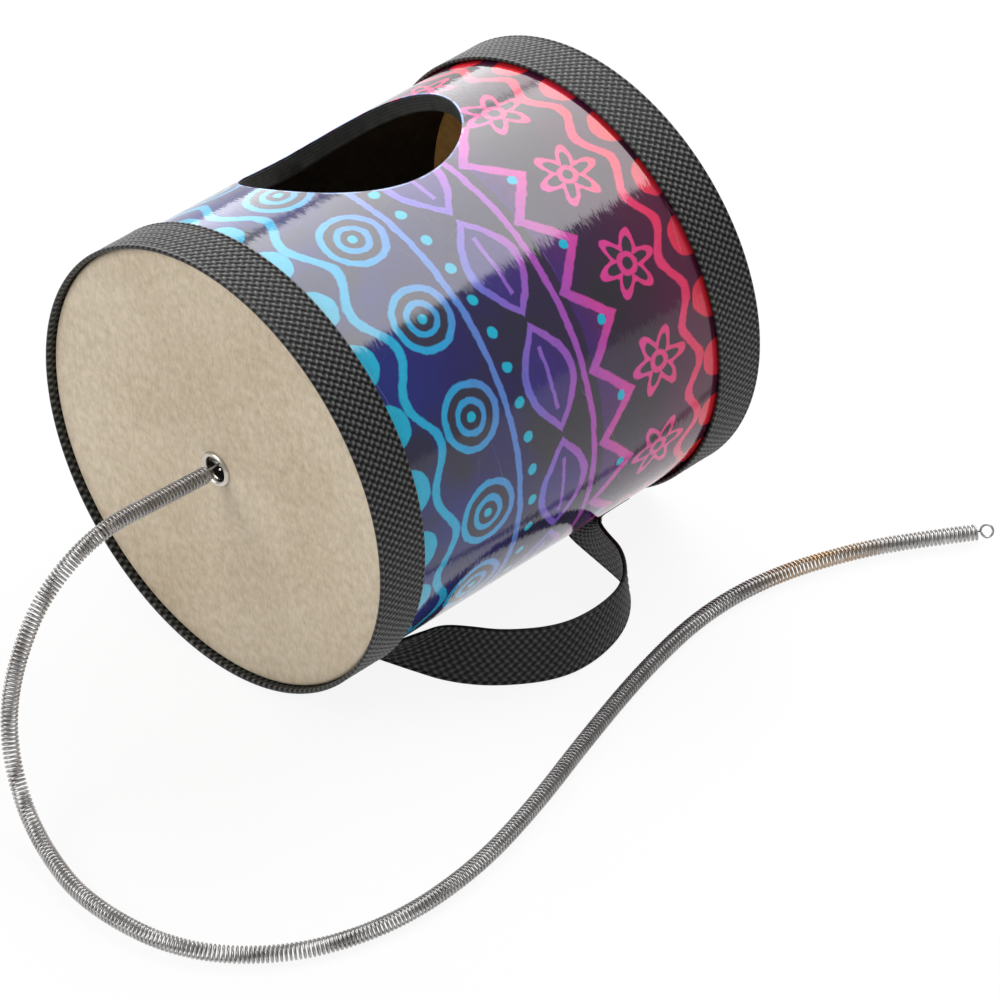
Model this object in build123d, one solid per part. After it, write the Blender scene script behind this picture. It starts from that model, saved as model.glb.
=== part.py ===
"""Thunder tube (spring drum) lying on its side: a short fibre drum with a head at each end,
a round sound hole in its wall, a webbing carry strap and a long steel spring on the front head.

The drum's axis runs along Y with the front head towards -Y, +Z is up, and the origin is on the
floor under the axis, halfway along the drum. All sizes are in millimetres.
"""
from build123d import *
import math
import os

os.makedirs("parts", exist_ok=True)

# Shell and printed wrap
SHELL_OD = 152.4
SHELL_WALL = 6.0
SHELL_LENGTH = 165.1
SHELL_EDGE = 1.0  # chamfer of the outer bearing edge
WRAP_THICKNESS = 0.3
WRAP_MARGIN = 2.0  # bare shell at each end of the wrap
GLUE_LINE = 0.05  # gap left between glued layers

# Sound hole
HOLE_ALONG = 76.2
HOLE_ACROSS = 71.0
HOLE_ROLL = 21.0  # degrees from straight up, towards -X
HOLE_BACK = 2.4  # behind the middle of the drum

# Heads and the webbing round the two ends
HEAD_THICKNESS = 0.4
HEAD_COLLAR = 9.0  # skin folded back along the shell
HEAD_FOLD = 1.2  # bevel where the skin turns over the shell's edge
RIM_WIDTH = 19.0
RIM_THICKNESS = 1.45
RIM_PROUD = 2.65  # webbing past the face of the head

# Eyelet in the front head and the pin behind it
EYELET_BORE = 8.6
EYELET_WALL = 0.4
EYELET_FLANGE = 12.4
EYELET_CROWN = 0.9
ROLL_FACETS = 2  # flats across the rolled edge of the eyelet
EYELET_WASHER_OD = 15.0
EYELET_WASHER_THICKNESS = 0.6
BORE_CLEARANCE = 0.1  # round a barrel or a shank in its hole
PIN_DIAMETER = 2.0
PIN_LENGTH = 13.0
PIN_GAP = 0.15
PIN_CHAMFER = 0.3

# Spring: one wire, hooked over the pin, wound, and turned into an end loop
WIRE_DIAMETER = 0.8
COIL_OD = 5.7
COIL_TURNS = 32
COIL_STANDOFF = 2.2  # in front of the eyelet
HOOK_CLEARANCE = 0.2  # wire to pin
HOOK_WRAP = 230.0  # degrees of wire round the pin
LOOP_RADIUS = 2.1
LOOP_SWEEP = 280.0
LOOP_GAP = 1.2  # from the last turn to the loop
LOOP_LEAN = 38.0  # degrees between the loop's normal and the floor
SPRING_FLOOR_Z = 3.05

# Carry strap, fixed at two tabs under the shell and bent over on the floor
STRAP_WIDTH = 22.2
STRAP_THICKNESS = 1.6
STRAP_ROLL = 25.5  # degrees from straight down, towards +X
STRAP_FLOOR_GAP = 0.3
STRAP_CLEARANCE = 0.3  # loop to tab and shell
STRAP_LAP = 2.0  # loop under the inner end of a tab
TAB_LENGTH = 20.0
FRONT_TAB_GAP = 1.6  # from the webbing round the front end
REAR_TAB_GAP = 4.6  # from the webbing round the back end
RIVET_INSET = 12.0  # from the inner end of a tab
RIVET_SHANK = 4.0
RIVET_HEAD = 9.0
RIVET_CROWN = 1.3
RIVET_FLAT = 4.6  # flat top of the head
RIVET_TAIL = 6.4
RIVET_TAIL_HEIGHT = 0.9
RIVET_WASHER_OD = 10.0
RIVET_WASHER_THICKNESS = 0.8

# Sizes that follow from the ones above
SHELL_R = SHELL_OD / 2
SHELL_IR = SHELL_R - SHELL_WALL
WRAP_IR = SHELL_R + GLUE_LINE
WRAP_R = WRAP_IR + WRAP_THICKNESS
COLLAR_IR = WRAP_R + GLUE_LINE
COLLAR_R = COLLAR_IR + HEAD_THICKNESS
RIM_IR = COLLAR_R + GLUE_LINE
RIM_R = RIM_IR + RIM_THICKNESS
AXIS_Z = RIM_R  # the drum lies on its two webbing rims
SHELL_END = SHELL_LENGTH / 2
HEAD_END = SHELL_END + HEAD_THICKNESS
RIM_END = HEAD_END + RIM_PROUD
DRUM_AXIS = Axis((0, 0, AXIS_Z), (0, 1, 0))

BORE_R = EYELET_BORE / 2
BARREL_R = BORE_R + EYELET_WALL
FLANGE_R = EYELET_FLANGE / 2
WASHER_BACK = EYELET_WASHER_THICKNESS - SHELL_END
PIN_Y = WASHER_BACK + EYELET_CROWN + PIN_GAP + PIN_DIAMETER / 2
COIL_FRONT = -HEAD_END - EYELET_CROWN - COIL_STANDOFF

WIRE_CORNER = WIRE_DIAMETER * math.sqrt(math.pi / math.sqrt(27))  # three-sided wire of equal area
COIL_R = COIL_OD / 2 - WIRE_CORNER
HOOK_R = PIN_DIAMETER / 2 + HOOK_CLEARANCE + WIRE_CORNER

TAB_IR = WRAP_R + GLUE_LINE
TAB_R = TAB_IR + STRAP_THICKNESS
RIM_INNER_EDGE = RIM_END - RIM_WIDTH
FRONT_TAB_INNER = FRONT_TAB_GAP + TAB_LENGTH - RIM_INNER_EDGE
REAR_TAB_INNER = RIM_INNER_EDGE - REAR_TAB_GAP - TAB_LENGTH
RIVET_YS = (FRONT_TAB_INNER - RIVET_INSET, REAR_TAB_INNER + RIVET_INSET)
RIVET_WASHER_FACE = math.sqrt(SHELL_IR**2 - (RIVET_WASHER_OD / 2) ** 2)

# Route of the spring's axis: out of the eyelet, down to the floor, and round beside the drum
SPRING_ROUTE = [
    (0, COIL_FRONT, AXIS_Z),
    (0, -108, 79.5),
    (0, -133, 81),
    (0, -156, 69.5),
    (0.5, -169, 50),
    (2.5, -176, 30),
    (12, -181, 12),
    (31, -188, 3.9),
    (60, -195.5, SPRING_FLOOR_Z),
    (97, -190, SPRING_FLOOR_Z),
    (122, -167, SPRING_FLOOR_Z),
    (133.5, -135, SPRING_FLOOR_Z),
    (133, -100, SPRING_FLOOR_Z),
    (125, -66, SPRING_FLOOR_Z),
    (112.8, -29, SPRING_FLOOR_Z),
    (102, 8, SPRING_FLOOR_Z),
    (95.5, 42, SPRING_FLOOR_Z),
    (97.5, 73, SPRING_FLOOR_Z),
    (108, 103, SPRING_FLOOR_Z),
    (120, 124, SPRING_FLOOR_Z),
    (130, 139, SPRING_FLOOR_Z),
]
RUN_SHARE = 0.45  # of the shorter run beside a corner that its arc takes

# Plan of the strap's loop, from the front tab round to the rear tab
STRAP_ROUTE = [
    (36, FRONT_TAB_INNER - STRAP_LAP),
    (62, -39.5),
    (86.5, -15),
    (84.5, 12),
    (66, 38),
    (36, REAR_TAB_INNER + STRAP_LAP),
]


def barrel_plane(y):
    """Plane across the drum at y, facing +Y."""
    return Plane(origin=(0, y, AXIS_Z), x_dir=(1, 0, 0), z_dir=(0, 1, 0))


def disc(radius, y0, y1):
    """Round plate on the drum's axis."""
    return extrude(barrel_plane(y0) * Circle(radius), y1 - y0)


def tube(inner, outer, y0, y1):
    """Round tube on the drum's axis."""
    return extrude(barrel_plane(y0) * (Circle(outer) - Circle(inner)), y1 - y0)


def turned(*profile):
    """Solid of revolution about the drum's axis, from (radius, y) corners."""
    face = make_face(Polyline(*profile, close=True).edges())
    return revolve(Pos(0, 0, AXIS_Z) * face, DRUM_AXIS)


def radial_plane(distance, y, roll):
    """Plane facing straight out of the shell, roll degrees from straight down towards +X."""
    out = Vector(math.sin(math.radians(roll)), 0, -math.cos(math.radians(roll)))
    return Plane(origin=Vector(0, y, AXIS_Z) + out * distance, x_dir=(0, 1, 0), z_dir=out)


def rivet_holes():
    """Cutter for the two rivet shanks."""
    hole = Circle(RIVET_SHANK / 2 + BORE_CLEARANCE)
    return [extrude(radial_plane(0, y, STRAP_ROLL) * hole, RIM_R) for y in RIVET_YS]


def sound_hole():
    """Cutter for the sound hole, straight through one side of the wall."""
    plane = radial_plane(0, HOLE_BACK, 180 + HOLE_ROLL)
    return extrude(plane * Ellipse(HOLE_ALONG / 2, HOLE_ACROSS / 2), 2 * SHELL_R)


def corner_radii(points):
    """Largest arc at each inner corner of a route."""
    radii = []
    for before, corner, after in zip(points, points[1:], points[2:]):
        run_in = Vector(corner) - Vector(before)
        run_out = Vector(after) - Vector(corner)
        half_turn = math.radians(run_in.get_angle(run_out)) / 2
        radii.append(RUN_SHARE * min(run_in.length, run_out.length) / math.tan(half_turn))
    return radii


def make_shell():
    body = tube(SHELL_IR, SHELL_R, -SHELL_END, SHELL_END)
    rims = body.edges().filter_by(GeomType.CIRCLE).sort_by(lambda edge: edge.radius)[-2:]
    body = chamfer(rims, SHELL_EDGE)
    return body - sound_hole() - rivet_holes()


def make_wrap():
    end = SHELL_END - WRAP_MARGIN
    return tube(WRAP_IR, WRAP_R, -end, end) - sound_hole() - rivet_holes()


def make_head():
    """Skin of the front head without its eyelet hole: a disc folded back over the shell."""
    collar_end = HEAD_COLLAR - SHELL_END
    inner_fold = HEAD_FOLD - HEAD_THICKNESS * (2 - math.sqrt(2))
    return turned(
        (0, -HEAD_END), (COLLAR_R - HEAD_FOLD, -HEAD_END), (COLLAR_R, HEAD_FOLD - HEAD_END),
        (COLLAR_R, collar_end), (COLLAR_IR, collar_end), (COLLAR_IR, inner_fold - SHELL_END),
        (COLLAR_IR - inner_fold, -SHELL_END), (0, -SHELL_END),
    )


def make_front_head():
    return make_head() - disc(BARREL_R + BORE_CLEARANCE, -HEAD_END, -SHELL_END)


def make_back_head():
    return make_head().mirror(Plane.XZ)


def make_eyelet():
    """Barrel through the head with a rolled edge in front and one clinched on the washer behind."""
    crown_r = (BORE_R + FLANGE_R) / 2
    half = (FLANGE_R - BORE_R) / 2
    front, back = [], []
    for step in range(ROLL_FACETS + 1):
        angle = math.pi * step / ROLL_FACETS
        rise = EYELET_CROWN * math.sin(angle)
        front.append((crown_r - half * math.cos(angle), -HEAD_END - rise))
        back.append((crown_r + half * math.cos(angle), WASHER_BACK + rise))
    return turned(*front, (BARREL_R, -HEAD_END), (BARREL_R, WASHER_BACK), *back)


def make_eyelet_washer():
    return tube(BARREL_R + BORE_CLEARANCE, EYELET_WASHER_OD / 2, -SHELL_END, WASHER_BACK)


def make_pin():
    rod = Cylinder(PIN_DIAMETER / 2, PIN_LENGTH, rotation=(0, 90, 0))
    rod = chamfer(rod.edges().filter_by(GeomType.CIRCLE), PIN_CHAMFER)
    return Pos(0, PIN_Y, AXIS_Z) * rod


def biarc(start, start_dir, end, end_dir):
    """Two arcs that leave start along start_dir and reach end along end_dir."""
    chord = end - start
    both = start_dir + end_dir
    bend = 2 * (1 - start_dir.dot(end_dir))
    along = chord.dot(both)
    reach = (math.sqrt(along**2 + bend * chord.dot(chord)) - along) / bend
    middle = (start + start_dir * reach + end - end_dir * reach) * 0.5
    first = Edge.make_tangent_arc(start, start_dir, middle)
    return [first, Edge.make_tangent_arc(middle, first.tangent_at(1), end)]


def hook_stations():
    """Points and directions of the wire round the pin, ending along -Y over its top."""
    steps = 4
    stations = []
    for step in range(steps + 1):
        angle = math.radians(HOOK_WRAP * (1 - step / steps))
        point = Vector(0, PIN_Y + HOOK_R * math.sin(angle), AXIS_Z + HOOK_R * math.cos(angle))
        stations.append((point, Vector(0, -math.cos(angle), math.sin(angle))))
    return stations


def coil_stations(route):
    """Points and directions of the winding, one for each half turn."""
    fine = 12  # steps in each half turn
    count = COIL_TURNS * 2 * fine
    across = Vector(1, 0, 0)
    points = []
    for step in range(count + 1):
        share = step / count
        along = route.tangent_at(share)
        across = (across - along * across.dot(along)).normalized()
        upright = along.cross(across)
        angle = math.pi * step / fine
        spoke = across * math.cos(angle) + upright * math.sin(angle)
        points.append(route.position_at(share) + spoke * COIL_R)
    stations = []
    for step in range(fine, count, fine):
        stations.append((points[step], (points[step + 1] - points[step - 1]).normalized()))
    return stations


def loop_stations(end, along, bottom):
    """Points and directions of the end loop, a circle that starts upwards beside the coil.

    end is the route's last point, along its direction and bottom the side the wire comes from.
    """
    upward = bottom * -1
    centre = end + along * (LOOP_GAP + LOOP_RADIUS)
    steps = 6
    stations = []
    for step in range(steps + 1):
        angle = math.radians(LOOP_SWEEP * step / steps)
        point = centre - along * LOOP_RADIUS * math.cos(angle) + upward * LOOP_RADIUS * math.sin(angle)
        heading = along * math.sin(angle) + upward * math.cos(angle)
        stations.append((point, heading))
    return stations


def make_spring():
    radii = corner_radii(SPRING_ROUTE)
    print("spring route radii", [round(radius, 1) for radius in radii])
    route = FilletPolyline(*SPRING_ROUTE, radius=radii)
    print("spring route length", round(route.length, 1))
    hook = hook_stations()
    coil = coil_stations(route)
    along = route.tangent_at(1)
    side = Vector(0, 0, 1).cross(along)
    lean = math.radians(LOOP_LEAN)
    bottom = Vector(0, 0, -math.cos(lean)) + side * math.sin(lean)
    loop = loop_stations(route.position_at(1), along, bottom)
    tail = hook[0][0] - hook[0][1] * WIRE_DIAMETER
    leg_end = Vector(0, COIL_FRONT + COIL_R / 2, AXIS_Z + HOOK_R)
    stations = [*hook[1:], (leg_end, Vector(0, -1, 0)), *coil, *loop[1:]]
    edges = [Edge.make_line(tail, hook[0][0])]
    here = hook[0]
    for there in stations:
        if here[1].dot(there[1]) > 1 - 1e-9:
            edges.append(Edge.make_line(here[0], there[0]))
        else:
            edges += biarc(*here, *there)
        here = there
    edges.append(Edge.make_line(here[0], here[0] + here[1] * WIRE_DIAMETER))
    path = Wire(edges)
    print_least_gap(path)
    section = Plane(origin=tail, z_dir=hook[0][1]) * RegularPolygon(WIRE_CORNER, 3)
    wire = sweep(section, path=path, clean=False)
    volume_share = wire.volume / (section.area * path.length)
    print("spring wire length", round(path.length, 1), "volume share", round(volume_share, 4))
    return wire


def print_least_gap(path):
    """Least gap of the wire to itself, measured on points along its axis."""
    spacing = 0.6
    count = int(path.length / spacing)
    points = [path.position_at(step / count) for step in range(count + 1)]
    skip = int(math.pi * COIL_R / spacing)
    reach = int(3 * COIL_OD * math.pi / spacing)
    least = min(
        (points[i] - points[j]).length
        for i in range(len(points))
        for j in range(i + skip, min(i + reach, len(points)))
    )
    print("spring least gap to itself", round(least - 2 * WIRE_CORNER, 2))


def make_rim():
    return tube(RIM_IR, RIM_R, -RIM_END, RIM_WIDTH - RIM_END)


def make_tab(inner_end, outward):
    """End of the strap, flat on the shell; outward is -1 for the front tab and 1 for the rear."""
    half = math.degrees(STRAP_WIDTH / 2 / TAB_R)
    angles = [math.radians(STRAP_ROLL + turn) for turn in (-half, 0, half)]

    def rim_point(radius, angle):
        return (radius * math.sin(angle), inner_end, AXIS_Z - radius * math.cos(angle))

    inner = Edge.make_three_point_arc(*[rim_point(TAB_IR, angle) for angle in angles])
    outer = Edge.make_three_point_arc(*[rim_point(TAB_R, angle) for angle in angles])
    sides = [Edge.make_line(inner @ end, outer @ end) for end in (0, 1)]
    face = Face(Wire([inner, outer, *sides]))
    return extrude(face, TAB_LENGTH, dir=(0, outward, 0)) - rivet_holes()


def make_strap_loop():
    line = FilletPolyline(*STRAP_ROUTE, radius=corner_radii(STRAP_ROUTE))
    print("strap loop length", round(line.length, 1))
    band = extrude(Pos(0, 0, STRAP_FLOOR_GAP) * trace(line, STRAP_THICKNESS), STRAP_WIDTH)
    return band - disc(TAB_R + STRAP_CLEARANCE, -SHELL_END, SHELL_END)


def make_rivet(y):
    """Rivet with a low conical head on the tab and a clinched tail on the inner washer."""
    tail_face = RIVET_WASHER_FACE - RIVET_WASHER_THICKNESS
    shank = extrude(radial_plane(tail_face, y, STRAP_ROLL) * Circle(RIVET_SHANK / 2), TAB_R - tail_face)
    tail = radial_plane(tail_face - RIVET_TAIL_HEIGHT, y, STRAP_ROLL)
    clinch = extrude(tail * Circle(RIVET_TAIL / 2), RIVET_TAIL_HEIGHT)
    cone = Cone(RIVET_HEAD / 2, RIVET_FLAT / 2, RIVET_CROWN, align=(Align.CENTER, Align.CENTER, Align.MIN))
    return shank + clinch + radial_plane(TAB_R, y, STRAP_ROLL) * cone


def make_rivet_washer(y):
    ring = Circle(RIVET_WASHER_OD / 2) - Circle(RIVET_SHANK / 2 + BORE_CLEARANCE)
    plane = radial_plane(RIVET_WASHER_FACE - RIVET_WASHER_THICKNESS, y, STRAP_ROLL)
    return extrude(plane * ring, RIVET_WASHER_THICKNESS)


def save(node, *solids):
    """Writes one node; several like solids go in as a group."""
    shape = solids[0] if len(solids) == 1 else Compound(children=list(solids))
    shape.label = node
    export_step(shape, f"parts/{node}.step")


save("shell", make_shell())
save("printed_wrap", make_wrap())
save("front_head", make_front_head())
save("back_head", make_back_head())
save("front_rim_webbing", make_rim())
save("back_rim_webbing", make_rim().mirror(Plane.XZ))
save("eyelet", make_eyelet())
save("eyelet_washer", make_eyelet_washer())
save("spring_anchor_pin", make_pin())
save("spring", make_spring())
save("strap_front_tab", make_tab(FRONT_TAB_INNER, -1))
save("strap_rear_tab", make_tab(REAR_TAB_INNER, 1))
save("strap_loop", make_strap_loop())
save("strap_rivets", *[make_rivet(y) for y in RIVET_YS])
save("strap_rivet_washers", *[make_rivet_washer(y) for y in RIVET_YS])
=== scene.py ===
"""Dresses a thunder tube: a short fibre drum on its side with a printed wrap, two skin heads,
webbing round both ends, a webbing carry strap and a long wound steel spring on the front head.

Everything is in metres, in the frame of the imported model: the drum's axis runs along Y with the
front head towards -Y, +Z is up and the origin is on the floor under the middle of the drum.
"""

import ast
import logging
import math
from dataclasses import dataclass, field
from enum import Enum
from typing import Iterable, Sequence

import bmesh
import bpy
import numpy as np
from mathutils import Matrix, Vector
from mathutils.geometry import delaunay_2d_cdt


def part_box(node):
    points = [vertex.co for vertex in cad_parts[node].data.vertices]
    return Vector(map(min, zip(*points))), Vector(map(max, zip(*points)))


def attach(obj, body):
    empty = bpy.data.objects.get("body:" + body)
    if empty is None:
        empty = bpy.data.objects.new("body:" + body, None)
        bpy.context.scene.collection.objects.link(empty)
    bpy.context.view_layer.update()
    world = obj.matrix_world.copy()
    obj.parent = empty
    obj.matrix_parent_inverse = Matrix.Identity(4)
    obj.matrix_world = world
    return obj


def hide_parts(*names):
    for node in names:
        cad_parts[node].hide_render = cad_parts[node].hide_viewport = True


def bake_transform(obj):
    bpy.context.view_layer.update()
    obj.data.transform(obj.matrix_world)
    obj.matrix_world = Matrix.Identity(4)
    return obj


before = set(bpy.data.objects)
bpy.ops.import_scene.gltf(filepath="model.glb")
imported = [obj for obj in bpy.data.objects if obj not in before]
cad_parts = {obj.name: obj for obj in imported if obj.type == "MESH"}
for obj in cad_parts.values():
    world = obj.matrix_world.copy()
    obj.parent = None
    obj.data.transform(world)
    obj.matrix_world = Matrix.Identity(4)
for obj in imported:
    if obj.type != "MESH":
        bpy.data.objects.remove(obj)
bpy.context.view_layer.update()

LOG = logging.getLogger("thunder_tube")
MM = 0.001
# Points of a smooth curve between two points of its route
CURVE_STEPS = 32
# Points of a mesh that are closer than this become one
MERGE_DISTANCE = 1e-6
# Height of the spring's axis where it lies on the floor, in millimetres
LYING_Z = 3.05

# Sockets of a colour mix node
MIX_FACTOR, MIX_A, MIX_B, MIX_COLOUR = 0, 6, 7, 2

Point = tuple[float, float, float]
# What a formula takes and gives
Value = bpy.types.NodeSocket | float


def linear(hex_colour: str) -> tuple[float, float, float, float]:
    """Turns an sRGB hex colour into linear values.

    Args:
        hex_colour: Six hex digits after a hash sign.

    Returns:
        Linear red, green and blue, and an alpha of one.
    """
    parts = [int(hex_colour[i:i + 2], 16) / 255 for i in (1, 3, 5)]
    return (*[c / 12.92 if c <= 0.04045 else ((c + 0.055) / 1.055) ** 2.4 for c in parts], 1.0)


def add_node(
    tree: bpy.types.NodeTree,
    kind: str,
    inputs: dict | None = None,
    stops: Sequence[tuple[float, str]] = (),
    **settings: object,
) -> bpy.types.Node:
    """Adds a node with its settings and links.

    Args:
        tree: The node tree that the node joins.
        kind: The node's type name.
        inputs: Socket name or number against a value, or an output socket to link.
        stops: Place and hex colour of each stop, for a colour ramp.
        **settings: Attributes of the node.

    Returns:
        The new node.
    """
    node = tree.nodes.new(kind)
    for name, value in settings.items():
        setattr(node, name, value)
    for key, value in (inputs or {}).items():
        if isinstance(value, bpy.types.NodeSocket):
            tree.links.new(value, node.inputs[key])
        else:
            node.inputs[key].default_value = value
    for index, (place, colour) in enumerate(stops):
        elements = node.color_ramp.elements
        stop = elements[index] if index < len(elements) else elements.new(place)
        stop.position, stop.color = place, linear(colour)
    return node


class Formula:
    """Math nodes of one tree, written as plain formulas."""

    OPERATORS = {
        ast.Add: "ADD", ast.Sub: "SUBTRACT", ast.Mult: "MULTIPLY", ast.Div: "DIVIDE",
        ast.Pow: "POWER", ast.Mod: "FLOORED_MODULO",
    }
    CALLS = {
        "abs": "ABSOLUTE", "sqrt": "SQRT", "sin": "SINE", "cos": "COSINE", "floor": "FLOOR",
        "min": "MINIMUM", "max": "MAXIMUM", "atan2": "ARCTAN2", "above": "GREATER_THAN", "clamp": "ADD",
    }

    def __init__(self, tree: bpy.types.NodeTree) -> None:
        """Keeps the tree that the nodes join."""
        self.tree = tree

    def __call__(self, text: str, **values: Value) -> Value:
        """Builds a formula.

        Args:
            text: The formula, with names for its inputs.
            **values: A number or an output socket for each name.

        Returns:
            The socket that holds the result.
        """
        return self._place(ast.parse(text).body[0].value, values)

    def _place(self, part: ast.AST, values: dict[str, Value]) -> Value:
        """Places the nodes of one part of a formula.

        Args:
            part: The part as Python parses it.
            values: A number or an output socket for each name.

        Returns:
            A number or the socket that holds the part's value.
        """
        if isinstance(part, ast.Constant):
            return float(part.value)
        if isinstance(part, ast.Name):
            return values[part.id]
        if isinstance(part, ast.Call):
            operation, operands = self.CALLS[part.func.id], part.args
        else:
            operation, operands = self.OPERATORS[type(part.op)], [part.left, part.right]
        inputs = {index: self._place(operand, values) for index, operand in enumerate(operands)}
        clamped = isinstance(part, ast.Call) and part.func.id == "clamp"
        if clamped:
            inputs[1] = 0.0
        node = add_node(self.tree, "ShaderNodeMath", inputs, operation=operation, use_clamp=clamped)
        return node.outputs[0]


def new_material(name: str) -> tuple[bpy.types.Material, bpy.types.NodeTree, Formula]:
    """Makes an empty node material.

    Args:
        name: The material's name.

    Returns:
        The material, its node tree and its formulas.
    """
    material = bpy.data.materials.new(name)
    material.use_nodes = True
    material.node_tree.nodes.clear()
    return material, material.node_tree, Formula(material.node_tree)


def finish_surface(tree: bpy.types.NodeTree, **inputs: object) -> None:
    """Ends a material in one Principled surface.

    Args:
        tree: The material's node tree.
        **inputs: Values or sockets, with an underscore for each space in a socket's name.
    """
    named = {key.replace("_", " "): value for key, value in inputs.items()}
    surface = add_node(tree, "ShaderNodeBsdfPrincipled", named)
    add_node(tree, "ShaderNodeOutputMaterial", {"Surface": surface.outputs[0]})


def new_piece(name: str, points: Iterable, faces: Iterable, edges: Iterable = ()) -> bpy.types.Object:
    """Makes a mesh object at the origin.

    Args:
        name: The piece's name.
        points: Vertex places in metres.
        faces: Vertex numbers of each face.
        edges: Vertex numbers of each loose edge.

    Returns:
        The object, linked to the scene.
    """
    mesh = bpy.data.meshes.new(name)
    mesh.from_pydata(list(points), list(edges), list(faces))
    piece = bpy.data.objects.new(name, mesh)
    bpy.context.scene.collection.objects.link(piece)
    return piece


def turn_outwards(piece: bpy.types.Object, merge_distance: float = 0.0) -> None:
    """Merges doubles, where a distance is given, and turns the faces outwards.

    Args:
        piece: The mesh object.
        merge_distance: Points closer than this become one.
    """
    work = bmesh.new()
    work.from_mesh(piece.data)
    if merge_distance:
        bmesh.ops.remove_doubles(work, verts=work.verts, dist=merge_distance)
    bmesh.ops.recalc_face_normals(work, faces=work.faces)
    work.to_mesh(piece.data)
    work.free()


def shade_smooth(piece: bpy.types.Object, sharp_degrees: float) -> None:
    """Shades a piece smoothly, apart from its sharp edges.

    Args:
        piece: The mesh object.
        sharp_degrees: Edges that turn more than this stay sharp.
    """
    piece.data.shade_smooth()
    piece.data.set_sharp_from_angle(angle=math.radians(sharp_degrees))


def grow(piece: bpy.types.Object, tree: bpy.types.NodeTree, sizes: dict[str, float]) -> None:
    """Runs a Geometry Nodes tree on a piece and keeps the result as its plain mesh.

    Args:
        piece: The object whose mesh goes in.
        tree: The tree, whose inputs are named.
        sizes: Input name against value.
    """
    modifier = piece.modifiers.new(tree.name, "NODES")
    modifier.node_group = tree
    for item in tree.interface.items_tree:
        if item.item_type == "SOCKET" and item.name in sizes:
            modifier[item.identifier] = sizes[item.name]
    evaluated = piece.evaluated_get(bpy.context.evaluated_depsgraph_get())
    mesh = bpy.data.meshes.new_from_object(evaluated)
    piece.modifiers.remove(modifier)
    piece.data = mesh
    mesh.name = piece.name


def new_tree(name: str, sizes: Sequence[str]) -> tuple[bpy.types.NodeTree, bpy.types.Node, bpy.types.Node]:
    """Starts a Geometry Nodes tree.

    Args:
        name: The tree's name.
        sizes: Names of its number inputs.

    Returns:
        The tree, its input node and its output node.
    """
    tree = bpy.data.node_groups.new(name, "GeometryNodeTree")
    tree.interface.new_socket("Geometry", in_out="INPUT", socket_type="NodeSocketGeometry")
    for size in sizes:
        tree.interface.new_socket(size, in_out="INPUT", socket_type="NodeSocketFloat")
    tree.interface.new_socket("Geometry", in_out="OUTPUT", socket_type="NodeSocketGeometry")
    return tree, add_node(tree, "NodeGroupInput"), add_node(tree, "NodeGroupOutput")


def end_tree(
    tree: bpy.types.NodeTree,
    made: bpy.types.NodeSocket,
    material: bpy.types.Material,
    output: bpy.types.Node,
) -> None:
    """Ends a Geometry Nodes tree in plain dressed geometry.

    Args:
        tree: The tree.
        made: The socket with the finished geometry.
        material: The material that the geometry gets.
        output: The tree's output node.
    """
    plain = add_node(tree, "GeometryNodeRealizeInstances", {0: made})
    dressed = add_node(tree, "GeometryNodeSetMaterial", {
        "Geometry": plain.outputs[0], "Material": material,
    })
    tree.links.new(dressed.outputs[0], output.inputs[0])


def put_on(piece: bpy.types.Object, body: str, slot: str, *nodes: str) -> None:
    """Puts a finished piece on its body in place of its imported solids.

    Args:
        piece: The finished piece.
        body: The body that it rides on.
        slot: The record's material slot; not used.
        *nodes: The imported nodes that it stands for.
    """
    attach(piece, body)
    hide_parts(*nodes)
    LOG.info("%s rides on %s with %d faces", piece.name, body, len(piece.data.polygons))


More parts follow.
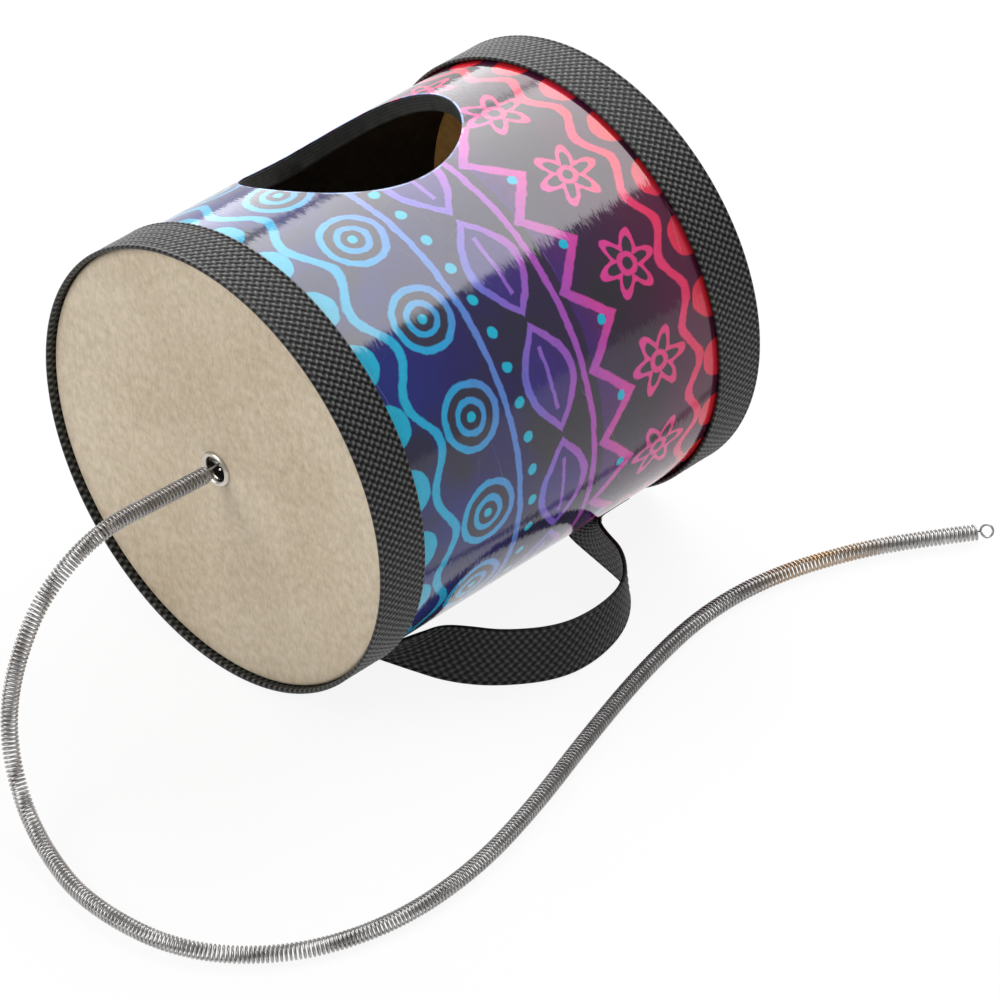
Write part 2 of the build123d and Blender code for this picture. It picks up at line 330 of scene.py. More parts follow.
@dataclass(frozen=True)
class DrumSizes:
    """Sizes of the drum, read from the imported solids."""

    axis_z: float
    shell_radius: float
    shell_end: float
    wrap_radius: float
    wrap_end: float
    collar_radius: float
    collar_end: float
    head_end: float
    rim_radius: float
    rim_end: float
    rim_width: float
    flange_radius: float
    eyelet_front: float
    eyelet_back: float
    pin_y: float
    pin_radius: float

    @classmethod
    def from_frame(cls) -> "DrumSizes":
        """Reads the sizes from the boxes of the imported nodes."""
        shell_low, shell_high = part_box("shell")
        wrap_low, wrap_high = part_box("printed_wrap")
        head_low, head_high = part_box("front_head")
        rim_low, rim_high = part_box("front_rim_webbing")
        eyelet_low, eyelet_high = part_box("eyelet")
        pin_low, pin_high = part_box("spring_anchor_pin")
        return cls(
            axis_z=(rim_low.z + rim_high.z) / 2,
            shell_radius=(shell_high.x - shell_low.x) / 2,
            shell_end=shell_high.y,
            wrap_radius=(wrap_high.x - wrap_low.x) / 2,
            wrap_end=wrap_high.y,
            collar_radius=(head_high.x - head_low.x) / 2,
            collar_end=-head_high.y,
            head_end=-head_low.y,
            rim_radius=(rim_high.x - rim_low.x) / 2,
            rim_end=-rim_low.y,
            rim_width=rim_high.y - rim_low.y,
            flange_radius=(eyelet_high.x - eyelet_low.x) / 2,
            eyelet_front=eyelet_low.y,
            eyelet_back=eyelet_high.y,
            pin_y=(pin_low.y + pin_high.y) / 2,
            pin_radius=(pin_high.z - pin_low.z) / 2,
        )

    def around(self, radius: float, angle: float, y: float) -> Point:
        """Places a point on a round of the drum.

        Args:
            radius: Distance from the axis.
            angle: Radians from straight up, towards +X.
            y: Place along the axis.

        Returns:
            The point.
        """
        return (radius * math.sin(angle), y, self.axis_z + radius * math.cos(angle))

    def lathe(self, name: str, profile: Sequence[tuple[float, float]], steps: int) -> bpy.types.Object:
        """Turns a closed profile about the drum's axis.

        Args:
            name: The piece's name.
            profile: Radius and y of each corner, in order round the section.
            steps: Steps in a full turn.

        Returns:
            The turned piece.
        """
        count = len(profile)
        angles = [2 * math.pi * step / steps for step in range(steps)]
        points = [self.around(radius, angle, y) for angle in angles for radius, y in profile]
        faces = []
        for step in range(steps):
            here, there = step * count, (step + 1) % steps * count
            for index in range(count):
                after = (index + 1) % count
                faces.append((here + index, here + after, there + after, there + index))
        return new_piece(name, points, faces)


class Motif(Enum):
    """What a row of the print repeats."""

    WAVE = "wave"
    RINGS = "rings"
    LEAF = "leaf"
    ZIGZAG = "zigzag"
    ROSETTE = "rosette"
    STRIPE = "stripe"
    DISC = "disc"
    DOT = "dot"


class Ink(Enum):
    """How a part of the print is coloured."""

    GROUND = "ground"
    STROKE = "stroke"
    ACCENT = "accent"
    RICH = "rich"
    DULL = "dull"


@dataclass(frozen=True)
class PrintRow:
    """One row of the print, which runs round the drum. Sizes are in millimetres."""

    motif: Motif
    place: float
    repeats: int
    reach: float
    line: float
    shift: float = 0.0


@dataclass(frozen=True)
class PrintedFilm:
    """Glossy film with a painted line print: saturated inks under a smooth clear face.

    The film is stretched over wound fibre board, whose fibres run round the drum and fray the
    edges of its reflections. Its cut edge at the sound hole shows pale.
    """

    radius: float
    axis_z: float
    hole: "SoundHole"
    roughness: float = 0.1
    ior: float = 1.5
    # Sizes of the fibres under the film and of the print's patterns in millimetres
    fibre_long: float = 4.5
    fibre_wide: float = 0.5
    fibre_tilt: float = 0.17
    fade_length: float = 134.0
    cloud_size: float = 33.3
    murk: str = "#2B2930"
    grain_size: float = 2.38
    hand_wander: float = 1.5
    hand_step: float = 6.67
    cut_edge: float = 0.9
    cut_tint: str = "#8FA9DE"
    # Slope against the axis and spacing in millimetres of each set of scratches
    scratches: tuple[tuple[float, float], ...] = ((0.16, 27.0), (-0.4, 41.0), (2.3, 58.0))
    scratch_patch: float = 26.3
    scratch_drift: float = 71.4
    scratch_share: float = 0.3
    scratch_tint: str = "#B9B4C4"
    rows: tuple[PrintRow, ...] = (
        PrintRow(Motif.DISC, -67.5, 22, 7.5, 0.0),
        PrintRow(Motif.WAVE, -55.0, 15, 3.6, 1.3),
        PrintRow(Motif.RINGS, -37.5, 14, 10.4, 1.2),
        PrintRow(Motif.STRIPE, -23.2, 1, 0.0, 1.2),
        PrintRow(Motif.DOT, -17.6, 40, 0.0, 1.9),
        PrintRow(Motif.LEAF, -3.5, 12, 9.6, 1.25, 0.3),
        PrintRow(Motif.STRIPE, 10.2, 1, 0.0, 1.2),
        PrintRow(Motif.ZIGZAG, 21.0, 18, 6.6, 1.35),
        PrintRow(Motif.DOT, 23.4, 18, 0.0, 1.7, 0.5),
        PrintRow(Motif.ROSETTE, 41.5, 14, 10.4, 1.2, 0.5),
        PrintRow(Motif.WAVE, 56.5, 20, 2.8, 1.3, 0.2),
        PrintRow(Motif.DISC, 67.5, 22, 7.0, 0.0, 0.3),
    )

    SHAPES = {
        Motif.WAVE: {Ink.STROKE: "abs(b - reach * sin(turn)) * 0.75 - line"},
        Motif.RINGS: {
            Ink.STROKE: "min(abs(r - reach) - line, abs(r - reach * 0.5) - line * 0.9)",
            Ink.DULL: "r - reach",
            Ink.ACCENT: "r - line * 1.4",
        },
        Motif.LEAF: {
            Ink.STROKE: "min(abs(abs(b) - reach * cos(3.6 * t)) * 0.85 - line,"
                        " max(abs(b) - line * 0.6, abs(a) - pitch * 0.27))",
            Ink.RICH: "abs(b) - reach * cos(3.6 * t)",
        },
        Motif.ZIGZAG: {
            Ink.STROKE: "abs(b - reach * (4 * abs(t) - 1)) * 0.6 - line",
            Ink.RICH: "max(b - reach * (4 * abs(t) - 1), 0 - b - reach)",
        },
        Motif.ROSETTE: {
            Ink.STROKE: "min(abs(r - reach * (0.74 + 0.26 * cos(6 * atan2(a, b)))) * 0.8 - line,"
                        " abs(r - reach * 0.28) - line * 0.8)",
            Ink.DULL: "r - reach * (0.74 + 0.26 * cos(6 * atan2(a, b)))",
        },
        Motif.STRIPE: {Ink.STROKE: "abs(b) - line"},
        Motif.DISC: {Ink.STROKE: "r - reach"},
        Motif.DOT: {Ink.ACCENT: "r - line"},
    }
    # Inks that change from the front of the drum to its back, and inks that don't
    FADES = {
        Ink.GROUND: (
            (0.0, "#1B2A78"), (0.2, "#241F62"), (0.45, "#2A2443"), (0.7, "#35203F"), (1.0, "#5A1638"),
        ),
        Ink.RICH: (
            (0.0, "#1C5DA8"), (0.3, "#2C3290"), (0.6, "#4A2478"), (0.85, "#86205E"), (1.0, "#A81F2E"),
        ),
        Ink.STROKE: (
            (0.0, "#17AFCF"), (0.2, "#2C9FD6"), (0.4, "#6E68C8"), (0.58, "#A94BB2"),
            (0.76, "#DB3F93"), (0.9, "#E2386A"), (1.0, "#DA2830"),
        ),
    }
    EVEN = {Ink.DULL: "#34323B", Ink.ACCENT: "#16B0CF"}
    # How each ink covers what lies under it, in the order of printing
    COVER = {
        Ink.DULL: "clamp(0.5 - d * 2) * 0.8",
        Ink.RICH: "clamp(0.5 - d * 2) * (0.35 + 0.6 * n)",
        Ink.STROKE: "clamp(0.5 - (d + (n - 0.5) * 0.8) * 2) * (0.78 + 0.4 * n)",
        Ink.ACCENT: "clamp(0.5 - (d + (n - 0.5) * 0.5) * 2)",
    }

    def material(self) -> bpy.types.Material:
        """Builds the print from its rows."""
        material, tree, formula = new_material("printed_gloss_film")
        place = add_node(tree, "ShaderNodeTexCoord").outputs["Object"]
        parts = add_node(tree, "ShaderNodeSeparateXYZ", {0: place}).outputs
        wander = add_node(tree, "ShaderNodeTexNoise", {
            "Vector": place, "Scale": 1 / (self.hand_step * MM), "Detail": 2.0,
        })
        shake = add_node(tree, "ShaderNodeSeparateColor", {0: wander.outputs["Color"]}).outputs
        angle = formula("atan2(x, z - axis)", x=parts[0], z=parts[2], axis=self.axis_z)
        around = formula(
            "angle * radius * 1000 + (n - 0.5) * hand",
            angle=angle, radius=self.radius, n=shake[0], hand=self.hand_wander,
        )
        along = formula("y * 1000 + (n - 0.5) * hand", y=parts[1], n=shake[1], hand=self.hand_wander)
        shapes = self._draw(formula, around, along)
        ink = self._ink(tree, formula, place, along, shapes)
        cut = formula("c * clamp((n - 0.4) * 6)", c=self._cut(formula, angle, parts[1]), n=shake[2])
        ink = add_node(tree, "ShaderNodeMix", {
            MIX_FACTOR: cut, MIX_A: ink, MIX_B: linear(self.cut_tint),
        }, data_type="RGBA").outputs[MIX_COLOUR]
        scuffs = self._scuffs(tree, formula, place, around, along)
        ink = add_node(tree, "ShaderNodeMix", {
            MIX_FACTOR: scuffs, MIX_A: ink, MIX_B: linear(self.scratch_tint),
        }, data_type="RGBA").outputs[MIX_COLOUR]
        normal, roughness = self._face(tree, formula, around, along)
        roughness = formula("r + s", r=roughness, s=scuffs)
        finish_surface(tree, Base_Color=ink, Roughness=roughness, IOR=self.ior, Normal=normal)
        return material

    def _draw(self, formula: Formula, around: Value, along: Value) -> dict[Ink, Value]:
        """Draws the rows as distances in millimetres.

        Args:
            formula: The material's formulas.
            around: Place round the drum.
            along: Place along the drum.

        Returns:
            Distance to the nearest shape of each ink.
        """
        girth = 2 * math.pi * self.radius / MM
        far_off = 1000.0
        found: dict[Ink, Value] = {ink: far_off for ink in Ink}
        for row in self.rows:
            pitch = girth / row.repeats
            t = formula("(u / pitch + shift) % 1 - 0.5", u=around, pitch=pitch, shift=row.shift)
            names = {
                "t": t, "pitch": pitch, "reach": row.reach, "line": row.line,
                "a": formula("t * pitch", t=t, pitch=pitch),
                "b": formula("v - place", v=along, place=row.place),
                "turn": formula("t * tau", t=t, tau=math.tau),
            }
            names["r"] = formula("sqrt(a ** 2 + b ** 2)", **names)
            for ink, shape in self.SHAPES[row.motif].items():
                found[ink] = formula("min(old, new)", old=found[ink], new=formula(shape, **names))
        return found

    def _ink(
        self,
        tree: bpy.types.NodeTree,
        formula: Formula,
        place: Value,
        along: Value,
        shapes: dict[Ink, Value],
    ) -> Value:
        """Mixes the inks.

        Args:
            tree: The material's node tree.
            formula: The material's formulas.
            place: Object coordinates.
            along: Place along the drum in millimetres.
            shapes: Distance to the nearest shape of each ink.

        Returns:
            The socket with the print's colour.
        """
        cloud = add_node(tree, "ShaderNodeTexNoise", {
            "Vector": place, "Scale": 1 / (self.cloud_size * MM), "Detail": 3.0,
        }).outputs[0]
        grain = add_node(tree, "ShaderNodeTexNoise", {
            "Vector": place, "Scale": 1 / (self.grain_size * MM), "Detail": 2.0,
        }).outputs[0]
        shade = formula("v / fade + 0.5 + (n - 0.5) * 0.2", v=along, fade=self.fade_length, n=cloud)
        inks = {ink: linear(colour) for ink, colour in self.EVEN.items()}
        for ink, stops in self.FADES.items():
            inks[ink] = add_node(tree, "ShaderNodeValToRGB", {0: shade}, stops=stops).outputs[0]
        mixed = add_node(tree, "ShaderNodeMix", {
            MIX_FACTOR: formula("clamp((n - 0.44) * 6) * 0.8", n=cloud),
            MIX_A: inks[Ink.GROUND], MIX_B: linear(self.murk),
        }, data_type="RGBA").outputs[MIX_COLOUR]
        for ink, share in self.COVER.items():
            mixed = add_node(tree, "ShaderNodeMix", {
                MIX_FACTOR: formula(share, d=shapes[ink], n=grain), MIX_A: mixed, MIX_B: inks[ink],
            }, data_type="RGBA").outputs[MIX_COLOUR]
        return mixed

    def _cut(self, formula: Formula, angle: Value, y: Value) -> Value:
        """Finds the film's pale edge round the sound hole.

        Args:
            formula: The material's formulas.
            angle: Radians from straight up.
            y: Place along the drum in metres.

        Returns:
            The socket that is one at the edge.
        """
        reach = formula(
            "sqrt((radius * sin(angle - roll) / across) ** 2 + ((y - back) / along) ** 2)",
            angle=angle, y=y, radius=self.radius, roll=self.hole.roll, back=self.hole.back,
            across=self.hole.across / 2, along=self.hole.along / 2,
        )
        upper_side = formula("above(cos(angle - roll), 0)", angle=angle, roll=self.hole.roll)
        edge = 1 + self.cut_edge * MM / (self.hole.along / 2)
        return formula("clamp((edge - q) * 90) * side", edge=edge, q=reach, side=upper_side)

    def _scuffs(
        self, tree: bpy.types.NodeTree, formula: Formula, place: Value, around: Value, along: Value
    ) -> Value:
        """Draws the fine scratches that handling leaves in a clear film.

        Args:
            tree: The material's node tree.
            formula: The material's formulas.
            place: Object coordinates.
            around: Place round the drum in millimetres.
            along: Place along the drum in millimetres.

        Returns:
            The socket with the share of the scratches' pale tint.
        """
        where = add_node(tree, "ShaderNodeTexNoise", {
            "Vector": place, "Scale": 1 / (self.scratch_patch * MM), "Detail": 1.0,
        }).outputs[0]
        drift = add_node(tree, "ShaderNodeTexNoise", {
            "Vector": place, "Scale": 1 / (self.scratch_drift * MM), "Detail": 0.0,
        }).outputs[0]
        scratches = 0.0
        for slope, spacing in self.scratches:
            off = formula(
                "abs((u * slope + v + drift * 30) % spacing - spacing / 2)",
                u=around, v=along, slope=slope, drift=drift, spacing=spacing,
            )
            scratches = formula("max(old, clamp(1.4 - off * 12))", old=scratches, off=off)
        return formula("s * clamp((n - 0.55) * 9) * share", s=scratches, n=where, share=self.scratch_share)

    def _face(
        self, tree: bpy.types.NodeTree, formula: Formula, around: Value, along: Value
    ) -> tuple[Value, Value]:
        """Builds the film's surface.

        Args:
            tree: The material's node tree.
            formula: The material's formulas.
            around: Place round the drum in millimetres.
            along: Place along the drum in millimetres.

        Returns:
            The sockets with the normal and the roughness.
        """
        fibre_place = add_node(tree, "ShaderNodeCombineXYZ", {
            0: formula("u / long", u=around, long=self.fibre_long),
            1: formula("v / wide", v=along, wide=self.fibre_wide),
        }).outputs[0]
        fibre = add_node(tree, "ShaderNodeTexNoise", {
            "Vector": fibre_place, "Scale": 1.0, "Detail": 3.0,
        }).outputs[0]
        tangent = add_node(tree, "ShaderNodeTangent", direction_type="RADIAL", axis="Y").outputs[0]
        lean = add_node(tree, "ShaderNodeVectorMath", {
            0: tangent, "Scale": formula("(n - 0.5) * tilt", n=fibre, tilt=self.fibre_tilt),
        }, operation="SCALE").outputs[0]
        straight = add_node(tree, "ShaderNodeNewGeometry").outputs["Normal"]
        leant = add_node(tree, "ShaderNodeVectorMath", {0: straight, 1: lean}, operation="ADD").outputs[0]
        normal = add_node(tree, "ShaderNodeVectorMath", {0: leant}, operation="NORMALIZE").outputs[0]
        roughness = formula("base + (n - 0.5) * 0.1", base=self.roughness, n=fibre)
        return normal, roughness


@dataclass(frozen=True)
class FibreSkin:
    """Drum skin of pressed synthetic fibre: matt, cream to tan, clotted, and thin enough to glow."""

    pale: str = "#CEC1AB"
    tan: str = "#B19F85"
    # Pattern sizes in millimetres; real fibres are finer and are drawn as coarse as they need to show
    patch_size: float = 45.0
    clot_size: float = 3.2
    fibre_size: float = 0.7
    fibre_squeeze: Point = (1.0, 1.0, 0.35)
    fibre_relief: float = 0.1
    tint_share: float = 0.08
    glow_share: float = 0.35
    glow_reach: Point = (1.0, 0.85, 0.68)
    glow_depth: float = 1.2
    roughness: float = 0.62

    def material(self) -> bpy.types.Material:
        """Builds the mottled skin."""
        material, tree, formula = new_material("pressed_fibre_skin")
        place = add_node(tree, "ShaderNodeTexCoord").outputs["Object"]
        clot = add_node(tree, "ShaderNodeTexNoise", {
            "Vector": place, "Scale": 1 / (self.clot_size * MM), "Detail": 3.0,
        })
        stretched = add_node(tree, "ShaderNodeMapping", {
            "Vector": place, "Scale": self.fibre_squeeze,
        }).outputs[0]
        fibre = add_node(tree, "ShaderNodeTexNoise", {
            "Vector": stretched, "Scale": 1 / (self.fibre_size * MM), "Detail": 3.0,
        }).outputs[0]
        broad = add_node(tree, "ShaderNodeTexNoise", {
            "Vector": place, "Scale": 1 / (self.patch_size * MM), "Detail": 2.0,
        }).outputs[0]
        mix = formula(
            "clamp(0.5 + (c - 0.5) * 1.4 + (f - 0.5) * 1.1 + (p - 0.5) * 1.1)",
            c=clot.outputs[0], f=fibre, p=broad,
        )
        colour = add_node(tree, "ShaderNodeMix", {
            MIX_FACTOR: mix, MIX_A: linear(self.tan), MIX_B: linear(self.pale),
        }, data_type="RGBA").outputs[MIX_COLOUR]
        tint = add_node(tree, "ShaderNodeMix", {
            MIX_FACTOR: self.tint_share, MIX_A: colour, MIX_B: clot.outputs["Color"],
        }, data_type="RGBA", blend_type="SOFT_LIGHT").outputs[MIX_COLOUR]
        bump = add_node(tree, "ShaderNodeBump", {
            "Strength": 0.25, "Distance": self.fibre_relief * MM, "Height": fibre,
        })
        finish_surface(
            tree, Base_Color=tint, Roughness=self.roughness, Normal=bump.outputs[0],
            Subsurface_Weight=self.glow_share, Subsurface_Radius=self.glow_reach,
            Subsurface_Scale=self.glow_depth * MM,
        )
        return material


@dataclass(frozen=True)
class Webbing:
    """Black nylon webbing: thick warp yarns that surface in turn, matt with a faint sparkle.

    The crown attribute of the mesh is one on top of a yarn and nought in the gaps between. Its colour is
    painted shade in the gaps and a painted highlight on the crowns.
    """

    name: str
    # Colours: painted shade in the gaps between yarns, and a painted highlight on the crowns
    painted_gap_shade: str
    crown: str
    roughness: float = 0.42
    # Filaments in millimetres, drawn as coarse as they need to show
    thread: float = 0.28
    thread_relief: float = 0.1

    def material(self) -> bpy.types.Material:
        """Builds the webbing."""
        material, tree, formula = new_material(self.name)
        place = add_node(tree, "ShaderNodeTexCoord").outputs["Object"]
        crown = add_node(tree, "ShaderNodeAttribute", attribute_name="crown").outputs["Fac"]
        fuzz = add_node(tree, "ShaderNodeTexNoise", {
            "Vector": place, "Scale": 1 / (self.thread * MM), "Detail": 2.0,
        }).outputs[0]
        # Painted shade in the gaps and a painted highlight on the crowns, broken up by the filaments
        mix = formula("clamp(crown ** 2.2 * (0.4 + 1.2 * n))", crown=crown, n=fuzz)
        colour = add_node(tree, "ShaderNodeMix", {
            MIX_FACTOR: mix, MIX_A: linear(self.painted_gap_shade), MIX_B: linear(self.crown),
        }, data_type="RGBA").outputs[MIX_COLOUR]
        bump = add_node(tree, "ShaderNodeBump", {
            "Strength": 0.4, "Distance": self.thread_relief * MM, "Height": fuzz,
        })
        finish_surface(
            tree, Base_Color=colour, Roughness=self.roughness, Normal=bump.outputs[0],
            Specular_IOR_Level=formula("0.17 + 0.45 * crown", crown=crown),
        )
        return material


@dataclass(frozen=True)
class BareMetal:
    """Plain or plated metal with a little tarnish that dulls and darkens it in patches."""

    name: str
    clean: str
    tarnish: str
    roughness: float
    # Size of a tarnished patch in millimetres
    patch_size: float = 6.0

    def material(self) -> bpy.types.Material:
        """Builds the metal."""
        material, tree, formula = new_material(self.name)
        place = add_node(tree, "ShaderNodeTexCoord").outputs["Object"]
        patch = add_node(tree, "ShaderNodeTexNoise", {
            "Vector": place, "Scale": 1 / (self.patch_size * MM), "Detail": 4.0,
        }).outputs[0]
        colour = add_node(tree, "ShaderNodeMix", {
            MIX_FACTOR: formula("clamp((n - 0.35) * 2.5)", n=patch),
            MIX_A: linear(self.clean), MIX_B: linear(self.tarnish),
        }, data_type="RGBA").outputs[MIX_COLOUR]
        roughness = formula("base + (n - 0.5) * 0.2", base=self.roughness, n=patch)
        finish_surface(tree, Base_Color=colour, Roughness=roughness, Metallic=1.0)
        return material


@dataclass(frozen=True)
class SpringSteel:
    """Drawn spring wire: bright grey, darkened along a long stretch by painted shade, with a stretch tinted
    straw by heat.
    """

    bright: str = "#D2D0CF"
    dull: str = "#A6A3A1"
    # Painted shade and a straw tint, with their places and reaches along the drum's axis in millimetres
    painted_shade: str = "#55524F"
    painted_shade_place: float = -10.0
    painted_shade_reach: float = 260.0
    painted_shade_share: float = 0.62
    straw: str = "#C69A5C"
    straw_place: float = 88.0
    straw_reach: float = 26.0
    # Size of a dull patch in millimetres
    patch_size: float = 5.88
    roughness: float = 0.33

    def material(self) -> bpy.types.Material:
        """Builds the wire's steel."""
        material, tree, formula = new_material("drawn_spring_steel")
        place = add_node(tree, "ShaderNodeTexCoord").outputs["Object"]
        y = add_node(tree, "ShaderNodeSeparateXYZ", {0: place}).outputs[1]
        patch = add_node(tree, "ShaderNodeTexNoise", {
            "Vector": place, "Scale": 1 / (self.patch_size * MM), "Detail": 3.0,
        }).outputs[0]
        steel = add_node(tree, "ShaderNodeMix", {
            MIX_FACTOR: formula("clamp((n - 0.35) * 2.5)", n=patch),
            MIX_A: linear(self.bright), MIX_B: linear(self.dull),
        }, data_type="RGBA").outputs[MIX_COLOUR]
        # Painted shade: the steel darkens towards the middle of its stretch along the drum, standing in for
        # less light there
        painted_shade_mix = formula(
            "clamp(1 - abs(y * 1000 - middle) / reach) * share",
            y=y, middle=self.painted_shade_place, reach=self.painted_shade_reach, share=self.painted_shade_share,
        )
        steel = add_node(tree, "ShaderNodeMix", {
            MIX_FACTOR: painted_shade_mix, MIX_A: steel, MIX_B: linear(self.painted_shade),
        }, data_type="RGBA").outputs[MIX_COLOUR]
        heat = formula(
            "clamp(1 - abs(y * 1000 - middle) / reach) * n * 1.1",
            y=y, middle=self.straw_place, reach=self.straw_reach, n=patch,
        )
        colour = add_node(tree, "ShaderNodeMix", {
            MIX_FACTOR: heat, MIX_A: steel, MIX_B: linear(self.straw),
        }, data_type="RGBA").outputs[MIX_COLOUR]
        finish_surface(tree, Base_Color=colour, Roughness=self.roughness, Metallic=1.0)
        return material


@dataclass(frozen=True)
class FibreBoard:
    """Wound fibre board painted black: matt, with the plies of its paper showing where it is cut."""

    axis_z: float
    paint: str = "#272727"
    ply: str = "#484745"
    # Thickness of a ply and sizes of the dust in the paint in millimetres
    ply_step: float = 1.1
    dust_size: float = 2.94
    dust_relief: float = 0.2
    roughness: float = 0.68

    def material(self) -> bpy.types.Material:
        """Builds the board."""
        material, tree, formula = new_material("painted_fibre_board")
        place = add_node(tree, "ShaderNodeTexCoord").outputs["Object"]
        parts = add_node(tree, "ShaderNodeSeparateXYZ", {0: place}).outputs
        depth = formula("sqrt(x ** 2 + (z - axis) ** 2) * 1000", x=parts[0], z=parts[2], axis=self.axis_z)
        dust = add_node(tree, "ShaderNodeTexNoise", {
            "Vector": place, "Scale": 1 / (self.dust_size * MM), "Detail": 4.0,
        }).outputs[0]
        layer = formula(
            "0.5 + 0.5 * sin(d * tau / step + n * 3)", d=depth, tau=math.tau, step=self.ply_step, n=dust
        )
        mix = formula("clamp(layer * 0.4 + (n - 0.5) * 1.2)", layer=layer, n=dust)
        colour = add_node(tree, "ShaderNodeMix", {
            MIX_FACTOR: mix, MIX_A: linear(self.paint), MIX_B: linear(self.ply),
        }, data_type="RGBA").outputs[MIX_COLOUR]
        bump = add_node(tree, "ShaderNodeBump", {
            "Strength": 0.3, "Distance": self.dust_relief * MM, "Height": dust,
        })
        finish_surface(tree, Base_Color=colour, Roughness=self.roughness, Normal=bump.outputs[0])
        return material


@dataclass(frozen=True)
class BlackEnamel:
    """Baked black enamel on a pressed rivet head: smooth, rubbed a little grey."""

    paint: str = "#141414"
    rubbed: str = "#4A4846"
    # Size of a rubbed patch in millimetres
    rub_size: float = 1.43
    roughness: float = 0.34

    def material(self) -> bpy.types.Material:
        """Builds the enamel."""
        material, tree, formula = new_material("black_enamel")
        place = add_node(tree, "ShaderNodeTexCoord").outputs["Object"]
        rub = add_node(tree, "ShaderNodeTexNoise", {
            "Vector": place, "Scale": 1 / (self.rub_size * MM), "Detail": 4.0,
        }).outputs[0]
        colour = add_node(tree, "ShaderNodeMix", {
            MIX_FACTOR: formula("clamp((n - 0.58) * 6)", n=rub),
            MIX_A: linear(self.paint), MIX_B: linear(self.rubbed),
        }, data_type="RGBA").outputs[MIX_COLOUR]
        finish_surface(tree, Base_Color=colour, Roughness=self.roughness)
        return material


@dataclass(frozen=True)
class SoundHole:
    """Round hole cut straight through one side of the wall."""

    along: float = 76.2 * MM
    across: float = 71.0 * MM
    roll: float = math.radians(-21.0)
    back: float = 2.4 * MM

    def edge(self, radius: float, grown: float, steps: int) -> list[tuple[float, float]]:
        """Finds where the hole meets a round of the drum.

        Args:
            radius: Radius of the round.
            grown: Extra size all round.
            steps: Points in the loop.

        Returns:
            Angle from straight up and y of each point.
        """
        loop = []
        for step in range(steps):
            turn = 2 * math.pi * step / steps
            reach = (self.across / 2 + grown) * math.sin(turn)
            y = self.back + (self.along / 2 + grown) * math.cos(turn)
            loop.append((self.roll + math.asin(reach / radius), y))
        return loop

    def holds(self, radius: float, angle: float, y: float, grown: float) -> bool:
        """Tells whether a point on a round of the drum lies in the hole.

        Args:
            radius: Radius of the round.
            angle: Angle from straight up.
            y: Place along the axis.
            grown: Extra size all round.

        Returns:
            True inside the hole.
        """
        turn = angle - self.roll
        if math.cos(turn) < 0:
            return False
        across = radius * math.sin(turn) / (self.across / 2 + grown)
        return across**2 + ((y - self.back) / (self.along / 2 + grown)) ** 2 < 1


